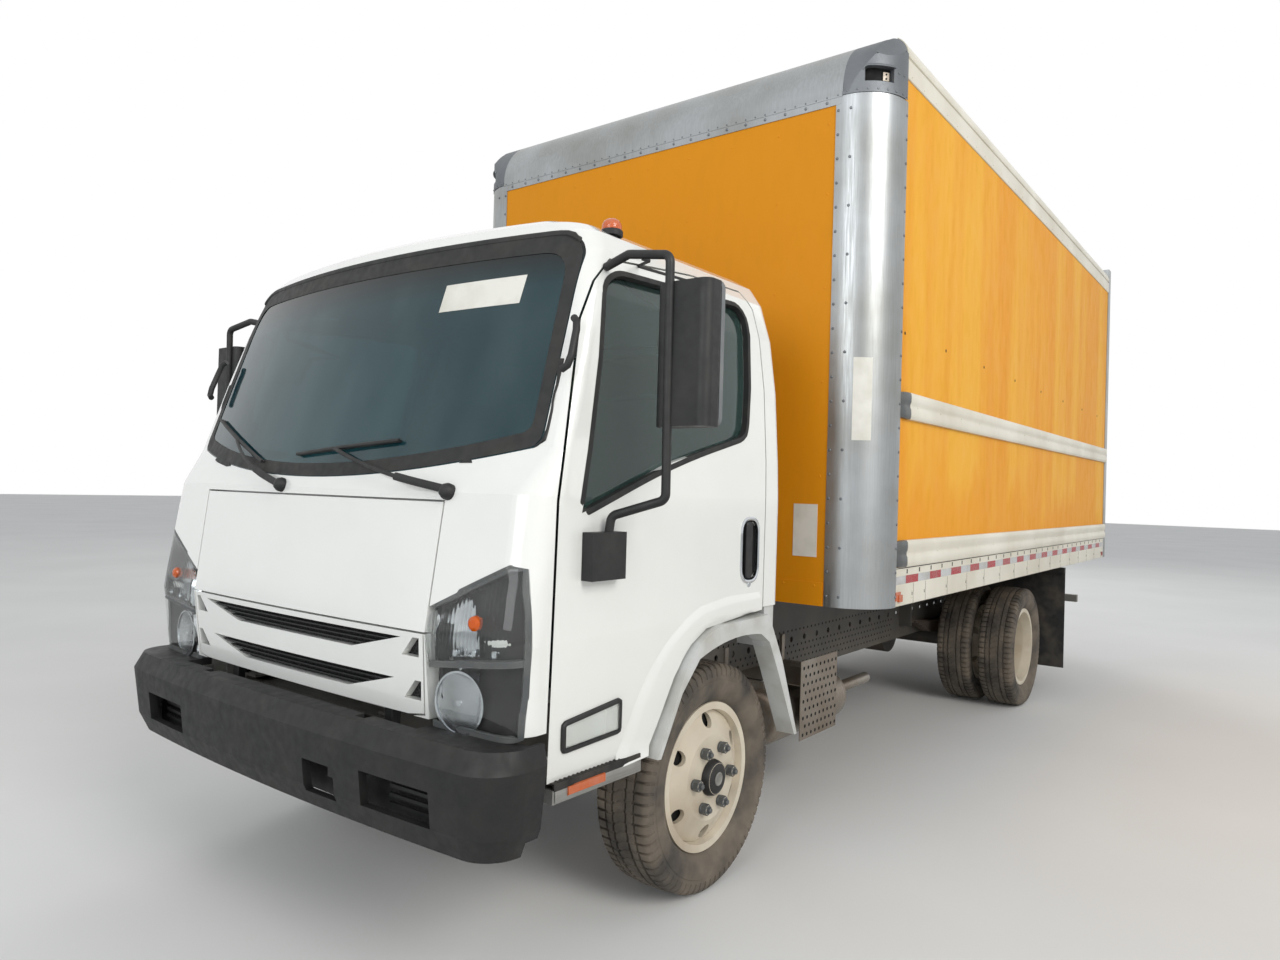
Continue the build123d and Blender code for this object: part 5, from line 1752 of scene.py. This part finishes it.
    def nose(self) -> None:
        """Raise both corner posts and the header between the castings, with its rivets."""
        draft = self.draft("bare_aluminium", "cast_grey")
        for side in Side:
            self.post(side, draft)
        draft.use("bare_aluminium")
        curve = []
        for a in range(0, 91, 5):
            turn = math.radians(a)
            x = self.front - self.header_radius + self.header_radius * math.cos(turn)
            curve.append((x, self.header_low + self.header_radius * math.sin(turn)))
        inside = [(x - 4, z - 4) for x, z in reversed(curve)]
        outline = [(self.front + 2, 3103), (self.front + 2, 3114), *curve, *inside, (self.front - 3, 3103)]
        draft.prism(outline, Plane.SIDE, -self.post_centre - 1, self.post_centre + 1)
        strip = self.post_centre - 2
        draft.box((self.front - 3, -strip, 3072), (self.front + 0.5, strip, 3103))
        # These aluminium rivet heads also take the darker casting grey: painted shade round each head.
        draft.use("cast_grey")
        for k in range(41):
            y = -1000 + 50 * k
            draft.rivet((self.front + 2, y, 3111), AHEAD, 4.0, 2.0)
            if k % 2:
                draft.rivet((self.front + 0.5, y, 3089), AHEAD, 7.0, 3.6)
        draft.finish("van_nose", "chassis", "bare_aluminium", angle=30, replaces="box_nose")

    def cast_column(self, side: Side, degrees: float) -> list[Vector]:
        """One upright line of a casting's face, sunk where it crosses the recess.

        Args:
            side: The side of the truck.
            degrees: The angle from straight ahead.

        Returns:
            The points, from the bottom.
        """
        rim = self.cast_z(self.cast_radius, degrees)
        low, high = 3152.0, min(3216.0, rim - 10)
        if rim < 3166:
            return [self.around(side, self.cast_radius, degrees, z) for z in run(self.post_top, rim, 8)]
        deep = self.recess_depth if 26.2 < degrees < 61.8 else 0
        levels = [(self.post_top, 0), (3112, 0), (low, 0), (low + 1, deep), (blend(low, high, 0.5), deep)]
        levels += [(high - 1, deep), (high, 0), (blend(high, rim, 0.5), 0), (rim, 0)]
        return [self.around(side, self.cast_radius - sunk, degrees, z) for z, sunk in levels]

    def casting(self, side: Side, draft: Draft) -> None:
        """Add one corner casting with the empty, hooded recess of its marker lamp, its back painted dark as the
        recess's shade.

        Args:
            side: The side of the truck.
            draft: The castings' draft.
        """
        full = self.cast_radius

        def arc(section: Sequence[Pair], degrees: float) -> list[Vector]:
            """A section of distances out of the face and heights, at an angle."""
            return [self.around(side, full + out, degrees, z) for out, z in section]

        draft.use("cast_grey")
        draft.sheet([self.cast_column(side, a) for a in self.cast_turns])
        rows = []
        for radius in self.cast_rings:
            rows.append([self.around(side, radius, 2.5 * k, self.cast_z(radius, 2.5 * k)) for k in range(37)])
        draft.sheet(rows)
        lip = []
        for a in [24 + 40 * k / 14 for k in range(15)]:
            z = min(3219.0, self.cast_z(full, a) - 6)
            lip.append(arc([(-1, z - 5), (6, z - 5), (7, z - 1), (4, z + 4), (-1, z + 7)], a))
        draft.shell(lip)
        for a in (6, 18, 30, 42, 54, 66, 78, 87):
            draft.rivet(self.around(side, full, a, 3120), self.outward(side, a), 5.0, 2.6)
        for a in (70, 80):
            draft.rivet(self.around(side, full, a, 3200), self.outward(side, a), 6.0, 3.0)
        # The recess's back is near black: painted shade inside the hooded recess.
        draft.use("hole_black")
        back = []
        for a in [27 + 34 * k / 12 for k in range(13)]:
            high = min(3213.0, self.cast_z(full, a) - 13)
            back.append(arc([(-22, 3153.5), (-26, 3158), (-26.5, high - 4), (-22, high)], a))
        draft.sheet(back)
        draft.use("raw_steel")
        section = [(-25, 3164), (-19, 3164), (-19, 3200), (-25, 3200)]
        draft.shell([arc(section, 50 + 9 * k / 4) for k in range(5)])
        # Two small holes, painted dark as their shade.
        draft.use("hole_black")
        for z in (3173, 3191):
            draft.turned([(4, -1), (4, 1)], self.around(side, full - 18.6, 54.5, z), self.outward(side, 54.5), 12)

    def castings(self) -> None:
        """Cap both front corners."""
        draft = self.draft("cast_grey", "hole_black", "raw_steel")
        for side in Side:
            self.casting(side, draft)
        draft.finish("van_castings", "chassis", "cast_grey", angle=28, replaces="corner_caps")

    def top_rail(self, side: Side, draft: Draft) -> None:
        """Run the rounded rail along the roof's edge, a groove and a riveted flange below it.

        Args:
            side: The side of the truck.
            draft: The rails' draft.
        """
        s = side.value
        y, z, radius = self.half - self.edge_radius, self.top - self.edge_radius, self.edge_radius + 3.5
        section = [(1205, 3212), (1217, 3212), (1219.5, 3215), (1219.5, 3294)]
        section += [(1214, 3297), (1214, 3303), (1220, 3306)]
        for a in range(2, 63, 6):
            turn = math.radians(a)
            section.append((y + radius * math.cos(turn), z + radius * math.sin(turn)))
        self.length(draft, side, section + [(y + 40, z + 60), (1200, 3300)], self.seam)
        for x in stations(self.seam - 60, self.rear + 30, self.bolt_pitch / 2):
            draft.rivet((x, s * 1219.5, 3232), (0, s, 0), 5.0, 2.4)

    def rub_rail(self, side: Side, low: float, draft: Draft) -> None:
        """Run one two-ridged rub rail along a wall, with a dark end piece.

        Args:
            side: The side of the truck.
            low: The height of its lower edge.
            draft: The rails' draft.
        """
        s, root, middle = side.value, 1212, 58
        draft.use("rail_cream")
        self.length(draft, side, [(y, low + z) for y, z in self.ridges], self.seam - 108)
        draft.use("lamp_dark")
        rows = []
        for back, t in ((110, 1.0), (60, 0.92), (30, 0.7), (16, 0.2)):
            tall = 0.82 + 0.18 * t
            section = [(root + (y - root) * t, low + middle + (z - middle) * tall) for y, z in self.ridges]
            rows.append([(self.seam - back, s * y, z) for y, z in section])
        draft.shell(rows)
        draft.use("rail_cream")
        for x in stations(self.seam - 200, self.rear + 30, self.bolt_pitch):
            draft.rivet((x, s * 1229.5, low + middle), (0, s, 0), 5.0, 2.0)

    def bottom_rail(self, side: Side, draft: Draft) -> None:
        """Run the bottom rail, with its slots, joints and bolt heads.

        Args:
            side: The side of the truck.
            draft: The rails' draft.
        """
        s, face = side.value, self.half

        def slot(rear: float, ahead: float, low: float, high: float) -> None:
            """Lay one thin dark box on the rail's face: a joint line, and where wider, a slot whose darkness is
            painted shade.
            """
            draft.box((rear, s * (face - 1), low), (ahead, s * (face + 0.5), high))

        draft.use("rail_cream")
        section = [(1180, self.floor), (1216, self.floor), (face, self.floor + 3), (face, 1118), (1180, 1118)]
        self.length(draft, side, section, self.seam - 8)
        for x in [-1166.0, *stations(-1321.0, self.rear + 40, self.bolt_pitch)]:
            draft.use("rail_cream")
            for z in (1010, 981):
                draft.rivet((x, s * face, z), (0, s, 0), 6.0, 3.2)
            # Joint lines and slots are dark boxes; the slots' darkness is painted shade.
            draft.use("hole_black")
            slot(x - 16, x - 14.2, self.floor + 2, 1042)
            slot(x - 3, x + 3, 988, 1002)
        for x in stations(-1100.0, self.rear + 20, self.bolt_pitch / 2):
            slot(x - 6, x + 6, 1088, 1107)
        draft.box((self.seam - 10, s * (face - 1), 1112), (self.rear, s * (face + 0.6), 1115))

    def tape(self, side: Side, draft: Draft) -> None:
        """Stick the red and silver tape along the bottom rail.

        Args:
            side: The side of the truck.
            draft: The rails' draft.
        """
        s = side.value
        edges = [self.seam - 16, *stations(-1085, self.rear + 10, self.bolt_pitch / 2)]
        for k, (edge, after) in enumerate(zip(edges, edges[1:])):
            draft.use("tape_red" if k % 2 else "tape_white")
            draft.box((edge - 1, s * (self.half - 0.5), 1045), (after + 1, s * (self.half + 0.9), 1080))

    def rails(self) -> None:
        """Run every rail of both walls, and set the amber marker low at each front corner."""
        draft = self.draft("rail_cream", "lamp_dark", "hole_black", "tape_red", "tape_white", "lamp_amber")
        for side in Side:
            s = side.value
            draft.use("rail_cream")
            self.top_rail(side, draft)
            for low in (1118.0, 1758.0):
                self.rub_rail(side, low, draft)
            self.bottom_rail(side, draft)
            self.tape(side, draft)
            draft.use("lamp_amber")
            draft.box((self.seam - 12, s * 1218, 978), (self.seam - 68, s * 1224, 1014))
        draft.finish("van_rails", "chassis", "rail_cream", angle=30, replaces="side_rails")

    def front_wall(self) -> None:
        """Dress the front wall with its kick panel and bolts, in the darker front yellow that paints shade on it, and
        lay one blank label on it and on each post.
        """
        draft = self.draft("front_yellow", "label_white")
        draft.box((self.front - 4, -985, self.floor), (self.front + 1, 985, 1050))
        for k in range(14):
            draft.rivet((self.front + 1, -950 + 146 * k, 1036), AHEAD, 5, 2.4)
        for y in range(-960, 961, 240):
            for z in (1500, 1900, 2300, 2700, 3000):
                draft.rivet((self.front - 3, y, z), AHEAD, 5, 2.2)
        draft.use("label_white")
        draft.box((self.front - 4, 842, 1156), (self.front - 1.5, 954, 1380))
        for side in Side:
            angles = [21.5 + 22.5 * k / 8 for k in range(9)]
            draft.sheet([[self.around(side, self.post_radius + 0.9, a, z) for z in (1652, 1998)] for a in angles])
        # The wall itself is in the darker front yellow: painted shade.
        wall = self.draft("front_yellow")
        wall.box((self.front - 41, -1016, self.floor), (self.front - 3, 1016, 3101))
        wall.finish("van_front_wall", "chassis", "body_yellow", replaces="box_front_wall")
        draft.finish("van_front_trim", "chassis", "bare_aluminium", angle=30)

    def build(self) -> None:
        """Build the body's skin."""
        self.walls()
        self.roof()
        self.nose()
        self.castings()
        self.rails()
        self.front_wall()
        log.info("van body: walls, roof, nose, castings, rails and tape")


@dataclass
class Cushions(SubAssembly):
    """The cab's seats: crowned, piped cushions on the places of the CAD solids."""

    # the ending of the names, and the two sides of each place across the cab
    places: tuple[tuple[str, str, float, float], ...] = (
        ("driver_seat", "driver_back", 254, 786),
        ("bench_seat_near", "bench_back_near", -332, 116),
        ("bench_seat_far", "bench_back_far", -786, -340),
    )
    # stations and heights of the seats and of the backs
    seat: tuple[float, ...] = (-118, 396, 1044, 1196)
    back: tuple[float, ...] = (-186, -24, 1214, 1796)
    seat_crown: float = 12.0
    back_crown: float = 16.0
    # how high the piping runs, as angles above the waist
    seat_piping: tuple[float, ...] = (math.asin(0.32),)
    back_piping: tuple[float, ...] = (-1.0, 1.0)
    rings: int = 22
    around: int = 64

    def ring(self, low: Triple, high: Triple, rise: float, flat: bool) -> list[Triple]:
        """One level ring of a rounded cushion, its last point back at the first.

        Args:
            low: The cushion's low corner.
            high: Its high corner.
            rise: The angle above its waist, in radians.
            flat: Whether it is a seat, whose top swells; a back's front swells.

        Returns:
            The points of the ring.
        """

        def squared(number: float, power: float) -> float:
            """A sine or cosine raised to a power, with its sign."""
            return math.copysign(abs(number) ** power, number)

        middle = [(a + b) / 2 for a, b in zip(low, high)]
        half = [(b - a) / 2 for a, b in zip(low, high)]
        shrink = max(math.cos(rise), 0.0) ** 0.36
        w = squared(math.sin(rise), 0.5)
        points = []
        for j in range(self.around + 1):
            turn = 2 * math.pi * j / self.around
            u, v = squared(math.cos(turn), 0.34) * shrink, squared(math.sin(turn), 0.34) * shrink
            x, y, z = middle[0] + half[0] * u, middle[1] + half[1] * v, middle[2] + half[2] * w
            if flat and rise > 0:
                z += self.seat_crown * (1 - u * u) * (1 - v * v)
            if not flat and u > 0:
                x += self.back_crown * (1 - v * v) * (1 - w * w) * u
            points.append((x, y, z))
        return points

    def cushion(self, name: str, low: Triple, high: Triple, flat: bool) -> None:
        """Build one cushion with its piping.

        Args:
            name: The piece's name.
            low: Its low corner.
            high: Its high corner.
            flat: Whether it is a seat.
        """
        draft = self.draft("seat_fabric")
        draft.shell([self.ring(low, high, math.radians(a), flat)[:-1] for a in run(-89.9, 89.9, self.rings)])
        for rise in self.seat_piping if flat else self.back_piping:
            draft.tube(self.ring(low, high, rise, flat), 4.5, 6)
        first = name == "driver_seat"
        piece = draft.finish(name, "cab", "seat_fabric", angle=60, replaces="seats" if first else "")

    def build(self) -> None:
        """Build every seat, then every back."""
        for pick, (rear, front, low, high) in enumerate((self.seat, self.back)):
            for place in self.places:
                self.cushion(place[pick], (rear, place[2], low), (front, place[3], high), pick == 0)
        log.info("seats: six crowned cushions")


@dataclass
class CabTrim(SubAssembly):
    """Small things on the cab: roof lamps, drip line, pillar grips, mirror faces and the steps' treads."""

    grip: tuple[Triple, ...] = (
        (884, 970, 1748), (881, 988, 1758), (872, 994, 1788), (846, 986, 1862), (838, 979, 1888), (830, 962, 1900),
    )
    roof_lamp: Pair = (541, 850)
    mirror: Pair = (1147, 1319)
    lamp_section: tuple[Pair, ...] = ((577, 2), (580, 7), (602, 7), (605, 2))

    def roof_lamps(self) -> None:
        """Stand an amber dome on a dark foot at each roof corner."""
        skin = Skin("cab_shell")
        foot, dome = self.draft("black_plastic"), self.draft("lamp_amber")
        for side in Side:
            x, y = self.roof_lamp[0], side.value * self.roof_lamp[1]
            base = (x, y, skin.meet((x, y, 2700), (0, 0, -1))[0].z - 6)
            foot.turned([(36, 0), (36, 14), (32, 19)], base, UP, 32)
            dome.turned([(31, 17), (32, 24), (31, 36), (26, 46), (16, 53), (5, 55)], base, UP, 32)
        foot.finish("roof_lamp_feet", "cab", "black_plastic")
        dome.finish("roof_lamp_domes", "cab", "lamp_amber", angle=60, replaces="roof_lamps")

    def drip_lines(self) -> None:
        """Lay the dark drip line over each door and the grip on each pillar."""
        skin = Skin("cab_shell", "door_left", "door_right")
        draft = self.draft("black_plastic")
        for side in Side:
            spots = [skin.beside(side, x, z) for x, z in zip(run(575, 118, 12), run(2119, 2139, 12))]
            draft.band(spots, [(-5, -3), (-5, 2), (0, 4), (5, 2), (5, -3)], closed=False)
            draft.tube([(x, side.value * y, z) for x, y, z in self.grip], 11.0, 12)
        draft.finish("drip_lines", "cab", "black_plastic")

    def mirrors(self) -> None:
        """Face each mirror head with its two glasses, and run the pale strip round its rear edge."""
        near, far = self.mirror

        def pane(inset: float, low: float, high: float, radius: float, steps: int) -> list[Pair]:
            """The rounded outline of a pane in the head, seen from ahead."""
            ends = ((near + inset, low), (far - inset, low), (far - inset, high), (near + inset, high))
            return rounded([(y, z, radius) for y, z in ends], steps)

        for side in Side:
            s, word = side.value, side.word
            glass, rim = self.draft("mirror_glass"), self.draft("grey_plastic")
            for low, high in ((1782, 1994), (1614, 1768)):
                glass.prism([(s * y, z) for y, z in pane(11, low, high, 18, 5)], Plane.FRONT, 611.0, 607.6)
            edge = spaced(pane(0, 1602, 2008, 26, 6), 12)
            rows = []
            for x, out in ((626, -1.0), (626, 1.2), (617, 1.6), (608, 1.0), (607, -4.0)):
                rows.append([(x, s * y, z) for y, z in drawn_in(edge, -out)])
            rim.sheet(rows, ring=True)
            glass.finish(f"mirror_glasses_{word}", f"{word}_door", "bare_aluminium", bevel=0.8)
            rim.finish(f"mirror_rim_{word}", f"{word}_door", "black_plastic")

    def steps(self) -> None:
        """Cover each step with a studded tread, a pale edge and an amber lamp."""
        skin = Skin("steps")
        tread, edge, lamp = self.draft("tread_black"), self.draft("step_grey"), self.draft("lamp_amber")
        for side in Side:
            s = side.value
            tread.box((520, s * 930, 616.5), (904, s * 1002, 620.5))
            tread.box((520, s * 1000, 600), (904, s * 1006, 620.5))
            for i in range(21):
                for j in range(4):
                    x = 530 + 18 * i + (9 if j % 2 else 0)
                    if x < 898:
                        tread.turned([(5.5, 0), (4.6, 2.4), (1.5, 3.4)], (x, s * (940 + 17 * j), 620), UP, 8)
            section = ((568, 0.4), (571, 2.2), (598, 2.2), (601, 0.4))
            edge.sheet(skin.strip(side, run(528, 900, 11), section))
            rows = skin.strip(side, run(692, 850, 6), self.lamp_section)
            lamp.sheet(rows)
            lamp.patch(rows[0])
            lamp.patch(rows[-1])
        tread.finish("step_treads", "cab", "black_plastic")
        edge.finish("step_edges", "cab", "bare_aluminium")
        lamp.finish("step_lamps", "cab", "lamp_amber")

    def build(self) -> None:
        """Build all of it."""
        self.roof_lamps()
        self.drip_lines()
        self.mirrors()
        self.steps()
        log.info("cab trim: roof lamps, drip lines, grips, mirror faces, step treads")


@dataclass
class BumperTrim(SubAssembly):
    """What shows in and behind the front bumper: a dark sheet behind its openings that paints the shade there, slats,
    a blank label, the tilt legs' sleeves.
    """

    slats: tuple[float, ...] = (520, 546, 572, 598, 624)
    slat_ends: Pair = (566, 810)
    label: Pair = (438, 496)
    # the heights at which the bumper's face is looked up for the label's four columns
    label_sight: tuple[float, ...] = (530, 535, 535, 530)

    def build(self) -> None:
        """Dress the bumper."""
        skin = Skin("front_bumper")
        dark, sleeves = self.draft("black_plastic"), self.draft("black_plastic")
        # A dark sheet behind the bumper's openings: painted shade where the space behind them lies.
        dark.box((1062, -900, 458), (1070, 900, 642))
        for side in Side:
            s = side.value
            sleeves.box((994, s * 424, 594), (1026, s * 461, 800))
            for z in self.slats:
                rows = []
                for across in run(*self.slat_ends, 8):
                    y = s * across
                    x = skin.ahead(y, 480)[0].x - 42
                    rows.append([(x - 8, y, z - 7), (x, y, z - 5), (x, y, z + 5), (x - 8, y, z + 7)])
                dark.shell(rows)
        sleeves.finish("tilt_leg_sleeves", "cab", "black_plastic", bevel=3)
        dark.finish("bumper_shade_sheet_and_slats", "chassis", "black_plastic")
        label = self.draft("label_white")
        rows = []
        for y, z in zip(run(*self.label, 3), self.label_sight):
            x = skin.ahead(y, z)[0].x + 0.9
            rows.append([(x, y, 552), (x, y, 622)])
        label.sheet(rows)
        label.finish("bumper_label", "chassis", "black_plastic")
        log.info("bumper: backs, slats and a blank label")


@dataclass
class ChassisTrim(SubAssembly):
    """Dark discs of painted shade in the holes of the frame rails and of the heat shield, and dark rings of painted
    shade behind the wheels' hand holes.
    """

    hole_rows: tuple[float, ...] = (506, 540, 574, 608, 690)
    hole_radius: float = 7.0
    shield_radius: float = 9.0
    # the rings of the painted shade behind a hand hole: radius and distance out
    backs: tuple[Pair, ...] = ((165, 894), (170, 888), (226, 872), (231, 868))

    def spot(self, draft: Draft, place: Vector, normal: Vector, radius: float) -> None:
        """Add one flat dark disc, painted shade in a hole.

        Args:
            draft: The draft that it goes into.
            place: Its middle.
            normal: The way it faces.
            radius: Its radius.
        """
        first = normal.orthogonal().normalized()
        second = normal.cross(first)
        draft.patch([place + first * radius * math.cos(t) + second * radius * math.sin(t) for t in turns(8)])

    def build(self) -> None:
        """Add the painted shade of the holes and behind the hand holes."""
        rails, shield = Skin("frame_rails"), Skin("exhaust")
        holes = self.draft("hole_black")
        for side in Side:
            for row, z in enumerate(self.hole_rows):
                for k in range(58):
                    x = -330 - 46 * k - (23 if row % 2 else 0)
                    place, normal = rails.beside(side, x, z, 0.5)
                    if abs(normal.y) > 0.9 and abs(place.y) < 520:
                        self.spot(holes, place, Vector((0, side.value, 0)), self.hole_radius)
        for j in range(9):
            for i in range(9):
                x, z = -1325 + 42 * i + (21 if j % 2 else 0), 322 + 38 * j
                place, normal = shield.beside(Side.DRIVER, x, z, 0.6)
                if x < -975 and place.y > 780:
                    self.spot(holes, place, normal, self.shield_radius)
        holes.finish("rail_holes", "chassis", "frame_paint")
        for side in Side:
            s, word = side.value, side.word
            back = self.draft("hole_black")
            rows = []
            for radius, y in self.backs:
                rows.append([(radius * math.cos(t), s * y, AXLE_Z + radius * math.sin(t)) for t in turns(48)])
            back.sheet(rows, ring=True)
            back.finish(f"hand_hole_shade_{word}", f"front_wheel_{word}", "axle_iron")
        log.info("chassis: rail holes, shield holes, dark backs of the hand holes")


def main() -> None:
    """Build every sub-assembly and report on it."""
    logging.basicConfig(level=logging.INFO, format="%(name)s: %(message)s")
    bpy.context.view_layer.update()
    palette = Palette()
    Studio().build()
    for kind in (CadFinishes, Wheels, Windscreen, Wipers, Grille):
        kind(palette).build()
    for side in Side:
        Headlamp(palette, side).build()
        DoorTrim(palette, side).build()
    for kind in (VanBody, Cushions, CabTrim, BumperTrim, ChassisTrim):
        kind(palette).build()


if __name__ == "__main__":
    main()
